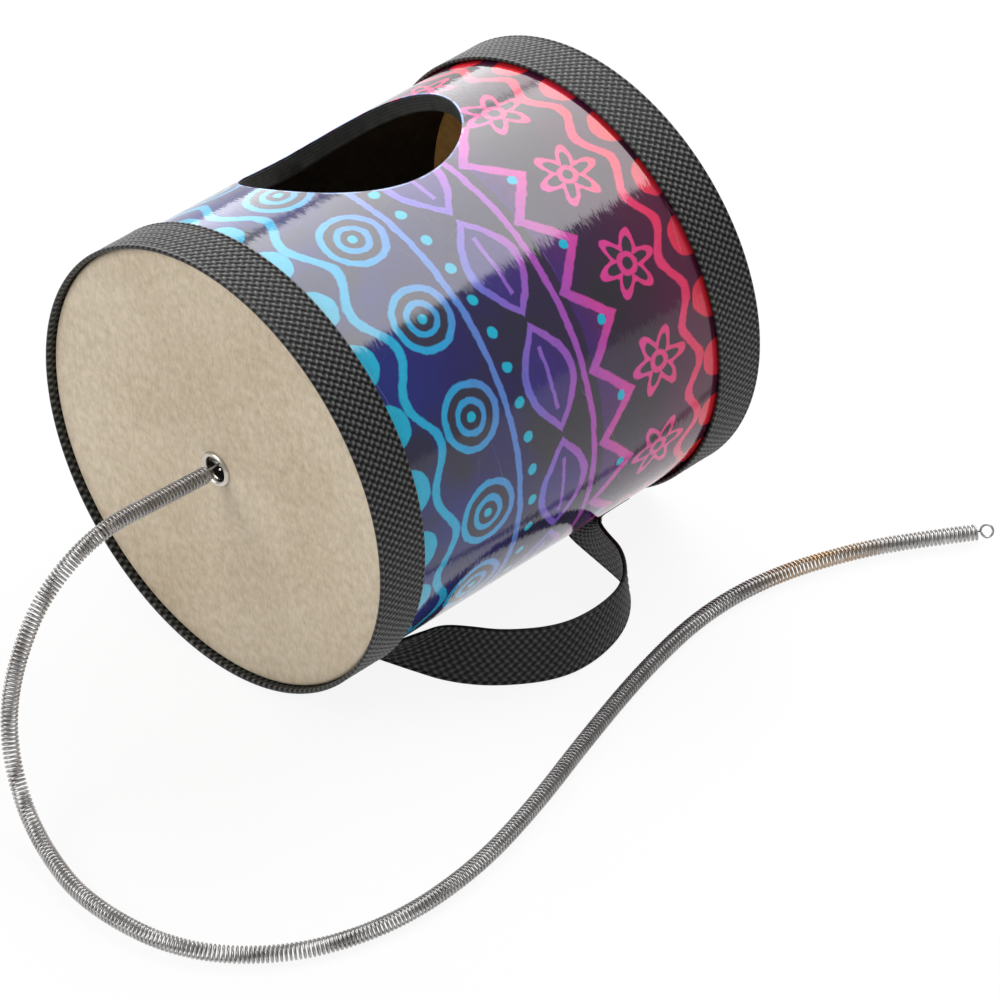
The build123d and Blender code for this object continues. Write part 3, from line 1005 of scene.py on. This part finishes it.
@dataclass(frozen=True)
class Shell:
    """The drum's fibre tube, its printed wrap and the sound hole through both."""

    sizes: DrumSizes
    hole: SoundHole = SoundHole()
    wall: float = 6.0 * MM
    film: float = 0.3 * MM
    bevel: float = 0.5 * MM
    film_bevel: float = 0.08 * MM
    # No point of the round's grid is nearer to the hole than this
    keep_off: float = 2.5 * MM
    sharp_degrees: float = 30.0
    turn_steps: int = 180
    along_steps: int = 24
    hole_steps: int = 160

    def _sheet(self, radius: float, end: float, grown: float) -> tuple[list, list, list]:
        """Lays out one round of the tube with its hole as flat triangles.

        Args:
            radius: Radius of the round.
            end: Half its length.
            grown: Extra size of the hole.

        Returns:
            Angle and y of each point, the triangles, and the point numbers of the hole and the two ends.
        """
        loop = self.hole.edge(radius, grown, self.hole_steps)
        flat = [(angle * radius, y) for angle, y in loop]
        edges = [(i, (i + 1) % self.hole_steps) for i in range(self.hole_steps)]
        rows = []
        for row in range(self.along_steps + 1):
            y = end * (2 * row / self.along_steps - 1)
            numbers = []
            for step in range(self.turn_steps + 1):
                angle = math.pi * (2 * step / self.turn_steps - 1)
                inner = 0 < row < self.along_steps and 0 < step < self.turn_steps
                if inner and self.hole.holds(radius, angle, y, grown + self.keep_off):
                    continue
                numbers.append(len(flat))
                flat.append((angle * radius, y))
            rows.append(numbers)
        edges += list(zip(rows[0], rows[0][1:])) + list(zip(rows[-1], rows[-1][1:]))
        sides = [[numbers[side] for numbers in rows] for side in (0, -1)]
        for side in sides:
            edges += list(zip(side, side[1:]))
        all_inside, nearness = 1, 1e-9
        places, _, faces, origins, _, _ = delaunay_2d_cdt(
            [Vector(p) for p in flat], edges, [], all_inside, nearness
        )
        new_number = {old: new for new, olds in enumerate(origins) for old in olds}
        spots = [(p.x / radius, p.y) for p in places]
        kept = []
        for face in faces:
            angle = sum(spots[i][0] for i in face) / len(face)
            y = sum(spots[i][1] for i in face) / len(face)
            if not self.hole.holds(radius, angle, y, grown):
                kept.append(face)
        loops = [[new_number[i] for i in loop] for loop in (range(self.hole_steps), rows[0], rows[-1])]
        return spots, kept, loops

    def _tube(self, name: str, outer: float, inner: float, end: float, bevel: float) -> bpy.types.Object:
        """Builds a closed tube with the hole in it.

        Args:
            name: The piece's name.
            outer: Outer radius.
            inner: Inner radius.
            end: Half its length.
            bevel: Bevel of the hole's two edges.

        Returns:
            The tube.
        """
        points, faces, normals, skins = [], [], [], []
        for radius, side in ((outer, 1), (inner, -1)):
            spots, triangles, loops = self._sheet(radius, end, bevel)
            start = len(points)
            for angle, y in spots:
                points.append(self.sizes.around(radius, angle, y))
                normals.append((side * math.sin(angle), 0.0, side * math.cos(angle)))
            faces += [tuple(start + i for i in face[::side]) for face in triangles]
            skins.append([[start + i for i in loop] for loop in loops])
        skin_faces = len(faces)
        rings = [skins[0][0]]
        for radius in (outer - bevel, inner + bevel):
            rings.append(range(len(points), len(points) + self.hole_steps))
            loop = self.hole.edge(radius, 0.0, self.hole_steps)
            points += [self.sizes.around(radius, angle, y) for angle, y in loop]
        rings.append(skins[1][0])
        for ring, other in zip(rings, rings[1:]):
            for i in range(self.hole_steps):
                after = (i + 1) % self.hole_steps
                faces.append((ring[i], ring[after], other[after], other[i]))
        for which in (1, 2):
            top, low = skins[0][which], skins[1][which]
            faces += [(top[i], top[i + 1], low[i + 1], low[i]) for i in range(len(top) - 1)]
        piece = new_piece(name, points, faces)
        self._shade(piece, skin_faces, normals)
        return piece

    def _shade(self, piece: bpy.types.Object, skin_faces: int, normals: Sequence[Point]) -> None:
        """Turns the edge faces outwards and gives the round faces their true normals.

        Args:
            piece: The tube.
            skin_faces: How many of its first faces are round ones.
            normals: Normal of each point of the round faces.
        """
        turn_outwards(piece)
        shade_smooth(piece, self.sharp_degrees)
        mesh = piece.data
        corner_normals = [tuple(corner.vector) for corner in mesh.corner_normals]
        for polygon in list(mesh.polygons)[:skin_faces]:
            for corner in polygon.loop_indices:
                corner_normals[corner] = normals[mesh.loops[corner].vertex_index]
        mesh.normals_split_custom_set(corner_normals)

    def build(self) -> None:
        """Builds and dresses the tube and the wrap."""
        sizes = self.sizes
        wall_inside = sizes.shell_radius - self.wall
        tube = self._tube("fibre_shell", sizes.shell_radius, wall_inside, sizes.shell_end, self.bevel)
        tube.data.materials.append(FibreBoard(sizes.axis_z).material())
        put_on(tube, "drum", "fibre_shell", "shell")
        film_inside = sizes.wrap_radius - self.film
        wrap = self._tube("printed_film", sizes.wrap_radius, film_inside, sizes.wrap_end, self.film_bevel)
        wrap.data.materials.append(PrintedFilm(sizes.wrap_radius, sizes.axis_z, self.hole).material())
        put_on(wrap, "drum", "printed_film", "printed_wrap")


@dataclass(frozen=True)
class Heads:
    """The two skins, folded over the ends of the shell, and the eyelet in the front one."""

    sizes: DrumSizes
    skin: float = 0.4 * MM
    fold: float = 1.4 * MM
    dimple: float = 0.35 * MM
    dimple_reach: float = 9.0 * MM
    eyelet_bore: float = 4.3 * MM
    eyelet_wall: float = 0.4 * MM
    # Radius at the middle of the back skin, which has no eyelet
    pinhole: float = 0.01 * MM
    steps: int = 192
    face_steps: int = 40
    fold_steps: int = 6
    fold_sharp: float = 40.0
    eyelet_steps: int = 72
    roll_steps: int = 10
    roll_sharp: float = 50.0

    def _fold(self, start: float, fold: float, face: float) -> list[tuple[float, float]]:
        """Lists the points of a quarter round at the edge of a skin.

        Args:
            start: Radius at which the round starts.
            fold: The round's own radius.
            face: Distance of the skin's face from the middle of the drum.

        Returns:
            Radius and distance from the middle of each point after the first.
        """
        turns = [math.pi / 2 * step / self.fold_steps for step in range(1, self.fold_steps + 1)]
        return [(start + fold * math.sin(turn), face - fold * (1 - math.cos(turn))) for turn in turns]

    def _skin(self, name: str, side: int, hole: float) -> bpy.types.Object:
        """Builds one skin.

        Args:
            name: The piece's name.
            side: -1 for the front head and 1 for the back one.
            hole: Radius of the eyelet's hole, or a very small one where there is none.

        Returns:
            The skin.
        """
        sizes = self.sizes
        flat_end = sizes.collar_radius - self.fold
        outer = []
        for step in range(self.face_steps + 1):
            radius = hole + (flat_end - hole) * step / self.face_steps
            pull = self.dimple * math.exp(-((radius - hole) / self.dimple_reach) ** 2) if side < 0 else 0.0
            outer.append((radius, sizes.head_end - pull))
        inner = [(radius, y - self.skin) for radius, y in outer]
        outer += self._fold(flat_end, self.fold, sizes.head_end)
        inner += self._fold(flat_end, self.fold - self.skin, sizes.head_end - self.skin)
        outer.append((sizes.collar_radius, sizes.collar_end))
        inner.append((sizes.collar_radius - self.skin, sizes.collar_end))
        profile = [(radius, side * y) for radius, y in outer + inner[::-1]]
        skin = sizes.lathe(name, profile, self.steps)
        turn_outwards(skin, MERGE_DISTANCE)
        shade_smooth(skin, self.fold_sharp)
        return skin

    def _eyelet(self) -> bpy.types.Object:
        """Builds the eyelet: a thin barrel rolled over at both ends."""
        sizes = self.sizes
        middle = (self.eyelet_bore + sizes.flange_radius) / 2
        half = (sizes.flange_radius - self.eyelet_bore) / 2
        barrel = self.eyelet_bore + self.eyelet_wall
        front_seat = self.dimple - sizes.head_end
        back_seat = max(front_seat + self.skin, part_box("eyelet_washer")[1].y)
        turns = [math.pi * step / self.roll_steps for step in range(self.roll_steps + 1)]
        rolls = []
        for seat, tip in ((front_seat, sizes.eyelet_front), (back_seat, sizes.eyelet_back)):
            side = math.copysign(half, tip - seat)
            rolls.append([
                (middle + side * math.cos(turn), seat + (tip - seat) * math.sin(turn)) for turn in turns
            ])
        profile = [*rolls[0], (barrel, front_seat), (barrel, back_seat), *rolls[1]]
        piece = sizes.lathe("eyelet_rolled", profile, self.eyelet_steps)
        turn_outwards(piece, MERGE_DISTANCE)
        shade_smooth(piece, self.roll_sharp)
        return piece

    def build(self) -> None:
        """Builds and dresses the skins and the eyelet."""
        skin = FibreSkin().material()
        for name, side, hole, node in (
            ("head_front", -1, self.eyelet_bore + self.eyelet_wall, "front_head"),
            ("head_back", 1, self.pinhole, "back_head"),
        ):
            piece = self._skin(name, side, hole)
            piece.data.materials.append(skin)
            put_on(piece, "drum", "skin", node)
        eyelet = self._eyelet()
        eyelet.data.materials.append(BareMetal("nickel_plate", "#DAD5CB", "#B0AA9E", 0.3).material())
        put_on(eyelet, "drum", "nickel", "eyelet")


@dataclass
class Weave:
    """Relief of plain woven webbing, grown on any band that knows its own length and width."""

    material: bpy.types.Material
    yarn_long: float
    yarn_wide: float
    relief: float = 0.5 * MM
    sharp_degrees: float = 78.0
    tree: bpy.types.NodeTree = field(init=False)

    def __post_init__(self) -> None:
        """Builds the tree that every band of this webbing shares."""
        self.tree = self._tree()

    def _tree(self) -> bpy.types.NodeTree:
        """Builds the tree that sinks the gaps between the crowns of the yarns."""
        tree, start, end = new_tree(f"weave_{self.material.name}", ("Across", "Along", "Relief"))
        formula = Formula(tree)
        read = {}
        for name in ("along", "across", "cover"):
            stored = add_node(tree, "GeometryNodeInputNamedAttribute", {"Name": name}, data_type="FLOAT")
            read[name] = stored.outputs[0]
        row = formula("floor(v / pv)", v=read["across"], pv=start.outputs["Across"])
        within = formula("v / pv - row - 0.5", v=read["across"], pv=start.outputs["Across"], row=row)
        swell = formula(
            "sin(pi * (u / pu + row) + (row % 2 * 2 - 1) * within * 1.5) * cos(pi * within)",
            u=read["along"], pu=start.outputs["Along"], row=row, within=within, pi=math.pi,
        )
        crown = formula("clamp(0.34 + 0.7 * swell)", swell=swell)
        sink = formula(
            "relief * (crown - 1) * cover", relief=start.outputs["Relief"], crown=crown, cover=read["cover"]
        )
        normal = add_node(tree, "GeometryNodeInputNormal").outputs[0]
        offset = add_node(tree, "ShaderNodeVectorMath", {0: normal, "Scale": sink}, operation="SCALE")
        moved = add_node(tree, "GeometryNodeSetPosition", {
            "Geometry": start.outputs[0], "Offset": offset.outputs[0],
        })
        kept = add_node(tree, "GeometryNodeStoreNamedAttribute", {
            "Geometry": moved.outputs[0], "Name": "crown", "Value": crown,
        }, data_type="FLOAT", domain="POINT")
        end_tree(tree, kept.outputs[0], self.material, end)
        return tree

    def grow_on(self, band: bpy.types.Object) -> None:
        """Grows the relief on a band.

        Args:
            band: A mesh with along, across and cover values at its points.
        """
        grow(band, self.tree, {"Across": self.yarn_wide, "Along": self.yarn_long, "Relief": self.relief})
        shade_smooth(band, self.sharp_degrees)


@dataclass(frozen=True)
class BandSection:
    """Section of a webbing band: flat faces and rounded selvedges."""

    width: float
    thickness: float
    face_step: float = 0.36 * MM
    back_step: float = 2.0 * MM
    edge_steps: int = 4
    # Steps over which the relief grows from a selvedge
    ease_steps: float = 1.5

    def outline(self, woven_back: bool) -> list[tuple[float, float, float]]:
        """Lists the points round the section.

        Args:
            woven_back: Whether the back face is as fine as the front one.

        Returns:
            Place across the band, height above its middle, and 1 on a face or 0 on a selvedge.
        """
        half, radius = self.width / 2, self.thickness / 2
        flat = half - radius
        points = []
        for side, step in ((1, self.face_step), (-1, self.face_step if woven_back else self.back_step)):
            count = max(2, round(2 * flat / step))
            cover = 1.0 if side > 0 or woven_back else 0.0
            for index in range(count + 1):
                ease = cover * min(1.0, min(index, count - index) / self.ease_steps)
                points.append((side * flat * (2 * index / count - 1), side * radius, ease))
            for index in range(1, self.edge_steps):
                turn = math.pi * index / self.edge_steps
                reach = flat + radius * math.sin(turn)
                points.append((side * reach, side * radius * math.cos(turn), 0.0))
        return points


def loft_band(
    name: str, stations: Sequence[tuple[Vector, Vector, Vector, float]], section: Sequence, closed: bool
) -> bpy.types.Object:
    """Sweeps a band section along stations.

    Args:
        name: The piece's name.
        stations: Middle, direction across, direction out of the face, and length so far.
        section: The outline from BandSection.
        closed: Whether the last station joins the first.

    Returns:
        The band, with along, across and cover values at its points.
    """
    count = len(section)
    points, along, across, cover = [], [], [], []
    for middle, wide, out, length in stations:
        for place_across, height, face in section:
            points.append(middle + wide * place_across + out * height)
            along.append(length)
            across.append(place_across)
            cover.append(face)
    total = len(stations)
    faces = []
    for station in range(total if closed else total - 1):
        here, there = station * count, (station + 1) % total * count
        for index in range(count):
            after = (index + 1) % count
            faces.append((here + index, there + index, there + after, here + after))
    if not closed:
        faces.append(tuple(range(count)))
        faces.append(tuple((total - 1) * count + index for index in range(count))[::-1])
    band = new_piece(name, points, faces)
    for key, values in (("along", along), ("across", across), ("cover", cover)):
        band.data.attributes.new(key, "FLOAT", "POINT").data.foreach_set("value", values)
    turn_outwards(band)
    return band


def smooth_line(name: str, route: Sequence[Point]) -> np.ndarray:
    """Reads close points from a smooth curve that follows a route.

    Args:
        name: Name for the curve.
        route: Points in millimetres that pull the curve, which starts and ends at the outer two.

    Returns:
        Points in metres, one to a row.
    """
    curve = bpy.data.curves.new(name, "CURVE")
    curve.dimensions = "3D"
    curve.resolution_u = CURVE_STEPS
    spline = curve.splines.new("NURBS")
    spline.points.add(len(route) - 1)
    for point, spot in zip(spline.points, route):
        point.co = (*[value * MM for value in spot], 1.0)
    spline.order_u = 3
    spline.use_endpoint_u = True
    holder = bpy.data.objects.new(name, curve)
    mesh = bpy.data.meshes.new_from_object(holder)
    line = np.array([vertex.co for vertex in mesh.vertices])
    bpy.data.objects.remove(holder)
    return line


def lengths_along(line: np.ndarray) -> np.ndarray:
    """Adds up the length along a line.

    Args:
        line: Points, one to a row.

    Returns:
        The length up to each point.
    """
    return np.concatenate([[0], np.cumsum(np.linalg.norm(np.diff(line, axis=0), axis=1))])


def read_line(line: np.ndarray, lengths: np.ndarray, places: float | np.ndarray) -> np.ndarray:
    """Reads points of a line at given lengths.

    Args:
        line: Points, one to a row.
        lengths: The length up to each point.
        places: The length or lengths to read at.

    Returns:
        A point, or points with one to a row.
    """
    return np.stack([np.interp(places, lengths, line[:, axis]) for axis in range(3)], axis=-1)


@dataclass(frozen=True)
class RimWebbing:
    """The band of webbing round each end of the drum."""

    sizes: DrumSizes
    thickness: float = 1.45 * MM
    yarn_long: float = 1.35 * MM
    yarn_wide: float = 1.6 * MM
    steps: int = 1200

    def build(self) -> None:
        """Builds and dresses both bands."""
        sizes = self.sizes
        # Gap and crown colours are painted shade and a painted highlight
        finish = Webbing("black_rim_webbing", "#040404", "#686866")
        weave = Weave(finish.material(), self.yarn_long, self.yarn_wide)
        section = BandSection(sizes.rim_width, self.thickness).outline(woven_back=False)
        radius = sizes.rim_radius - self.thickness / 2
        girth = 2 * math.pi * radius
        repeats = 2 * round(girth / self.yarn_long / 2)
        for name, node, skin, side in (
            ("rim_front", "front_rim_webbing", "head_front", -1),
            ("rim_back", "back_rim_webbing", "head_back", 1),
        ):
            y = side * (sizes.rim_end - sizes.rim_width / 2)
            stations = []
            for step in range(self.steps):
                angle = 2 * math.pi * step / self.steps
                out = Vector((math.sin(angle), 0.0, math.cos(angle)))
                middle = Vector(sizes.around(radius, angle, y))
                wound = repeats * self.yarn_long * step / self.steps
                stations.append((middle, Vector((0.0, 1.0, 0.0)), out, wound))
            band = loft_band(name, stations, section, closed=True)
            weave.grow_on(band)
            put_on(band, "drum", "webbing", node)


@dataclass(frozen=True)
class CarryStrap:
    """The webbing handle: two riveted ends under the shell and a loop that has flopped over."""

    width: float = 22.2 * MM
    thickness: float = 1.6 * MM
    step: float = 0.36 * MM
    face_step: float = 0.38 * MM
    yarn_long: float = 1.45 * MM
    yarn_wide: float = 1.85 * MM
    # How far out from under the drum the strap stops being held and starts to swing
    held: Point = (0.042, 0.0, 0.0115)
    free: Point = (0.064, 0.0, 0.0115)
    # Lower and upper edge of the band in millimetres
    edges: tuple[tuple[Point, Point], ...] = (
        ((23.6, -64.6, 3.2), (43.6, -64.6, 12.8)),
        ((23.6, -57.0, 3.2), (43.6, -57.0, 12.8)),
        ((24.0, -52.0, 3.1), (44.0, -52.0, 12.7)),
        ((29.0, -48.8, 1.4), (46.6, -47.5, 14.9)),
        ((36.0, -46.4, 1.0), (50.2, -41.5, 17.2)),
        ((46.0, -43.6, 0.9), (54.5, -37.0, 20.4)),
        ((60.2, -38.7, 0.7), (62.5, -32.8, 22.0)),
        ((72.7, -28.8, 0.6), (73.2, -26.8, 22.7)),
        ((84.0, -12.6, 0.6), (84.2, -12.2, 22.8)),
        ((85.6, 4.0, 0.6), (86.2, 4.0, 22.8)),
        ((80.5, 22.5, 0.6), (82.5, 19.5, 22.4)),
        ((67.4, 37.4, 0.7), (70.0, 31.0, 21.8)),
        ((55.2, 39.8, 0.8), (58.5, 34.2, 21.7)),
        ((43.1, 41.6, 0.9), (53.0, 37.5, 20.4)),
        ((33.0, 43.0, 1.2), (49.0, 42.2, 16.6)),
        ((26.0, 46.5, 2.6), (45.0, 46.5, 14.1)),
        ((23.6, 52.0, 3.2), (43.6, 52.0, 12.8)),
        ((23.6, 61.6, 3.2), (43.6, 61.6, 12.8)),
    )

    def _line(self) -> list[tuple[Vector, Vector]]:
        """Reads evenly spaced middles, and the way across, from a smooth curve along each edge."""
        low, high = (smooth_line("strap_edge", [pair[side] for pair in self.edges]) for side in (0, 1))
        fine = (low + high) / 2
        lengths = lengths_along(fine)
        places = np.linspace(0, lengths[-1], round(lengths[-1] / self.step))
        spots, ways = (read_line(line, lengths, places) for line in (fine, high - low))
        return [(Vector(spot), Vector(way).normalized()) for spot, way in zip(spots, ways)]

    def build(self) -> None:
        """Builds the strap as one woven band and hides the imported strap pieces."""
        line = self._line()
        # Gap and crown colours are painted shade and a painted highlight
        finish = Webbing("black_strap_webbing", "#020202", "#3A3A3A", roughness=0.52)
        weave = Weave(finish.material(), self.yarn_long, self.yarn_wide)
        section = BandSection(self.width, self.thickness, self.face_step).outline(woven_back=True)
        stations = []
        for index, (spot, wide) in enumerate(line):
            ahead = line[min(index + 1, len(line) - 1)][0] - line[max(index - 1, 0)][0]
            stations.append((spot, wide, ahead.cross(wide).normalized(), index * self.step))
        LOG.info("strap length %.1f mm", len(stations) * self.step / MM)
        band = loft_band("carry_strap", stations, section, closed=False)
        weave.grow_on(band)
        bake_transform(band)
        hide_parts("strap_front_tab", "strap_loop", "strap_rear_tab")
        LOG.info("%s has %d faces", band.name, len(band.data.polygons))


@dataclass(frozen=True)
class WoundSpring:
    """The spring: one wire, hooked over the pin behind the eyelet, wound close, with an end loop."""

    sizes: DrumSizes
    wire: float = 0.84 * MM
    coil_od: float = 5.7 * MM
    pitch: float = 1.42 * MM
    # Uneven winding: share by which the pitch sways, and radians of sway from end to end
    pitch_sway: float = 0.05
    sway_turn: float = 40.0
    # Share of the coil's radius at which the first turn starts
    first_turn: float = 0.55
    turn_steps: int = 17
    wire_sides: int = 7
    hook_wrap: float = math.radians(230.0)
    hook_clearance: float = 0.2 * MM
    hook_steps: int = 22
    loop_radius: float = 2.1 * MM
    loop_sweep: float = math.radians(352.0)
    loop_gap: float = 1.2 * MM
    loop_lean: float = math.radians(38.0)
    # How far the loop's end passes its start, in wire thicknesses
    loop_pass: float = 1.1
    loop_steps: int = 40
    length: float = 578.0 * MM
    # Route of the coil's axis in millimetres, from the eyelet down to the floor and round the drum
    route: tuple[Point, ...] = (
        (0, -86.05, 78.5), (0, -108, 79.5), (0, -133, 81), (0, -156, 69.5), (0.5, -169, 50),
        (2.5, -176, 30), (12, -181, 12), (31, -188, 3.9), (60, -195.5, LYING_Z), (97, -190, LYING_Z),
        (122, -167, LYING_Z), (133.5, -135, LYING_Z), (133, -100, LYING_Z), (125, -66, LYING_Z),
        (112.8, -29, LYING_Z), (102, 8, LYING_Z), (95.5, 42, LYING_Z), (97.5, 73, LYING_Z),
        (108, 103, LYING_Z), (120, 124, LYING_Z), (130, 139, LYING_Z),
    )

    @property
    def coil_radius(self) -> float:
        """Radius of the wire's middle line."""
        return (self.coil_od - self.wire) / 2

    def _hook(self) -> list[Vector]:
        """Lists the wire's points round the pin, from its tail to the top of the pin."""
        radius = self.sizes.pin_radius + self.hook_clearance + self.wire / 2
        points = []
        for step in range(self.hook_steps + 1):
            angle = self.hook_wrap * (1 - step / self.hook_steps)
            points.append(Vector((
                0.0,
                self.sizes.pin_y + radius * math.sin(angle),
                self.sizes.axis_z + radius * math.cos(angle),
            )))
        return points

    def _coil(self, axis: np.ndarray) -> list[Vector]:
        """Winds the wire about the axis.

        Args:
            axis: Points along the coil's axis.

        Returns:
            The wire's points, from the top of the first turn to the bottom of the last.
        """
        lengths = lengths_along(axis)
        total = lengths[-1]
        turns = round(total / self.pitch) + 0.5
        count = round(turns * self.turn_steps)
        across = Vector((1.0, 0.0, 0.0))
        points = []
        for step in range(count + 1):
            share = step / count
            sway = self.pitch_sway * math.sin(share * self.sway_turn) / self.sway_turn
            here = (share + sway * share * (1 - share)) * total
            spot, behind, ahead = (
                Vector(read_line(axis, lengths, here + shift)) for shift in (0.0, -MM, MM)
            )
            along = (ahead - behind).normalized()
            across = (across - along * across.dot(along)).normalized()
            upright = along.cross(across)
            angle = math.pi / 2 + 2 * math.pi * turns * share
            ease = min(1.0, self.first_turn + (1 - self.first_turn) * step / self.turn_steps)
            spoke = across * math.cos(angle) + upright * math.sin(angle)
            points.append(spot + spoke * self.coil_radius * ease)
        return points

    def _loop(self, axis: np.ndarray) -> tuple[list[Vector], Vector]:
        """Bends the end of the wire into a loop.

        Args:
            axis: Points along the coil's axis.

        Returns:
            The wire's points and the middle of the loop.
        """
        end = Vector(axis[-1])
        along = (end - Vector(axis[-4])).normalized()
        side = Vector((0.0, 0.0, 1.0)).cross(along)
        upward = Vector((0.0, 0.0, math.cos(self.loop_lean))) + side * math.sin(self.loop_lean)
        centre = end + along * (self.loop_gap + self.loop_radius)
        points = []
        for step in range(self.loop_steps + 1):
            share = step / self.loop_steps
            angle = self.loop_sweep * share
            lift = along.cross(upward) * (self.wire * self.loop_pass * share)
            spoke = upward * math.sin(angle) - along * math.cos(angle)
            points.append(centre + spoke * self.loop_radius + lift)
        return points, centre

    def _wire_tree(self, material: bpy.types.Material) -> bpy.types.NodeTree:
        """Builds the tree that draws a round wire along the piece's edges.

        Args:
            material: The wire's material.

        Returns:
            The tree.
        """
        tree, start, end = new_tree("round_wire", ("Radius",))
        line = add_node(tree, "GeometryNodeMeshToCurve", {0: start.outputs[0]}).outputs[0]
        ring = add_node(tree, "GeometryNodeCurvePrimitiveCircle", {
            "Resolution": self.wire_sides, "Radius": start.outputs["Radius"],
        }).outputs[0]
        wire = add_node(tree, "GeometryNodeCurveToMesh", {
            "Curve": line, "Profile Curve": ring, "Fill Caps": True,
        })
        smooth = add_node(tree, "GeometryNodeSetShadeSmooth", {0: wire.outputs[0]}).outputs[0]
        end_tree(tree, smooth, material, end)
        return tree

    def build(self) -> None:
        axis = smooth_line("spring_axis", self.route)
        loop, loop_centre = self._loop(axis)
        points = [*self._hook(), *self._coil(axis), *loop]
        piece = new_piece("wound_spring", points, (), [(i, i + 1) for i in range(len(points) - 1)])
        grow(piece, self._wire_tree(SpringSteel().material()), {"Radius": self.wire / 2})
        put_on(piece, "spring", "spring_steel", "spring")


class SmallMetal:
    """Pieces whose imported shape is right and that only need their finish."""

    def build(self) -> None:
        """Dresses the pin, the washers and the rivets."""
        steel = BareMetal("plain_steel", "#B4B2AE", "#837F7A", 0.34).material()
        enamel = BlackEnamel().material()
        for node, material in (
            ("spring_anchor_pin", steel), ("eyelet_washer", steel), ("strap_rivet_washers", steel),
            ("strap_rivets", enamel),
        ):
            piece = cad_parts[node]
            piece.data.materials.clear()
            piece.data.materials.append(material)
            LOG.info("%s keeps its packed shape", node)


@dataclass(frozen=True)
class Softbox:
    """A soft rectangular lamp."""

    name: str
    place: Point
    target: Point
    size: tuple[float, float]
    watts: float


@dataclass(frozen=True)
class Studio:
    """Pale floor, soft lamps and the camera."""

    eye: Point = (1.0930, -1.0466, 1.1818)
    elevation: float = 37.49
    azimuth: float = 45.06
    lens: float = 207.7
    sensor: float = 36.0
    floor_reach: float = 12.0
    floor_drop: float = 0.15 * MM
    shadow_share: float = 0.1
    paper: str = "#F4F4F4"
    white: str = "#FFFFFF"
    lamps: tuple[Softbox, ...] = (
        Softbox("overhead_softbox", (-0.35, 0.98, 1.28), (-0.35, 0.98, 0.0), (2.1, 0.75), 30.0),
        Softbox("far_softbox", (-1.95, 1.42, 0.76), (0.0, 0.0, 0.15), (1.7, 1.3), 25.0),
        Softbox("front_softbox", (-0.9, -2.0, 1.5), (0.0, -0.08, 0.08), (1.6, 1.2), 32.0),
    )
    sky_strength: float = 0.42

    def _floor(self) -> None:
        """Lays a white floor that still takes a faint shadow."""
        reach, z = self.floor_reach, -self.floor_drop
        corners = [(-reach, -reach, z), (reach, -reach, z), (reach, reach, z), (-reach, reach, z)]
        floor = new_piece("studio_floor", corners, [(0, 1, 2, 3)])
        material, tree, formula = new_material("white_paper_floor")
        rays = add_node(tree, "ShaderNodeLightPath").outputs
        seen = formula(
            "max(max(camera, glossy), through) * share", camera=rays["Is Camera Ray"],
            glossy=rays["Is Glossy Ray"], through=rays["Is Transmission Ray"], share=1 - self.shadow_share,
        )
        paper = add_node(tree, "ShaderNodeBsdfDiffuse", {"Color": linear(self.paper)}).outputs[0]
        white = add_node(tree, "ShaderNodeEmission", {"Color": linear(self.white)}).outputs[0]
        mixed = add_node(tree, "ShaderNodeMixShader", {0: seen, 1: paper, 2: white}).outputs[0]
        add_node(tree, "ShaderNodeOutputMaterial", {"Surface": mixed})
        floor.data.materials.append(material)

    def _lamps(self) -> None:
        """Hangs the softboxes and the even light round them."""
        for box in self.lamps:
            light = bpy.data.lights.new(box.name, "AREA")
            light.shape, light.size, light.size_y, light.energy = "RECTANGLE", *box.size, box.watts
            lamp = bpy.data.objects.new(box.name, light)
            lamp.location = box.place
            towards = Vector(box.target) - Vector(box.place)
            lamp.rotation_euler = towards.to_track_quat("-Z", "Y").to_euler()
            bpy.context.scene.collection.objects.link(lamp)
        world = bpy.data.worlds.new("studio_light")
        world.use_nodes = True
        world.node_tree.nodes.clear()
        sky = add_node(world.node_tree, "ShaderNodeBackground", {
            "Color": linear(self.white), "Strength": self.sky_strength,
        })
        add_node(world.node_tree, "ShaderNodeOutputWorld", {"Surface": sky.outputs[0]})
        bpy.context.scene.world = world

    def _camera(self) -> None:
        """Sets the camera at the photograph's place."""
        data = bpy.data.cameras.new("photo_camera")
        data.lens, data.sensor_width = self.lens, self.sensor
        camera = bpy.data.objects.new("photo_camera", data)
        camera.location = self.eye
        camera.rotation_euler = (math.radians(90 - self.elevation), 0.0, math.radians(self.azimuth))
        bpy.context.scene.collection.objects.link(camera)
        bpy.context.scene.camera = camera

    def build(self) -> None:
        """Sets up the floor, the light and the camera."""
        bpy.context.scene.view_settings.view_transform = "Standard"
        self._floor()
        self._lamps()
        self._camera()


def main() -> None:
    """Builds the object piece by piece and sets the studio round it."""
    logging.basicConfig(level=logging.INFO, format="%(name)s: %(message)s")
    sizes = DrumSizes.from_frame()
    Studio().build()
    for assembly in (
        WoundSpring(sizes), Shell(sizes), Heads(sizes), RimWebbing(sizes), CarryStrap(), SmallMetal()
    ):
        assembly.build()


if __name__ == "__main__":
    main()
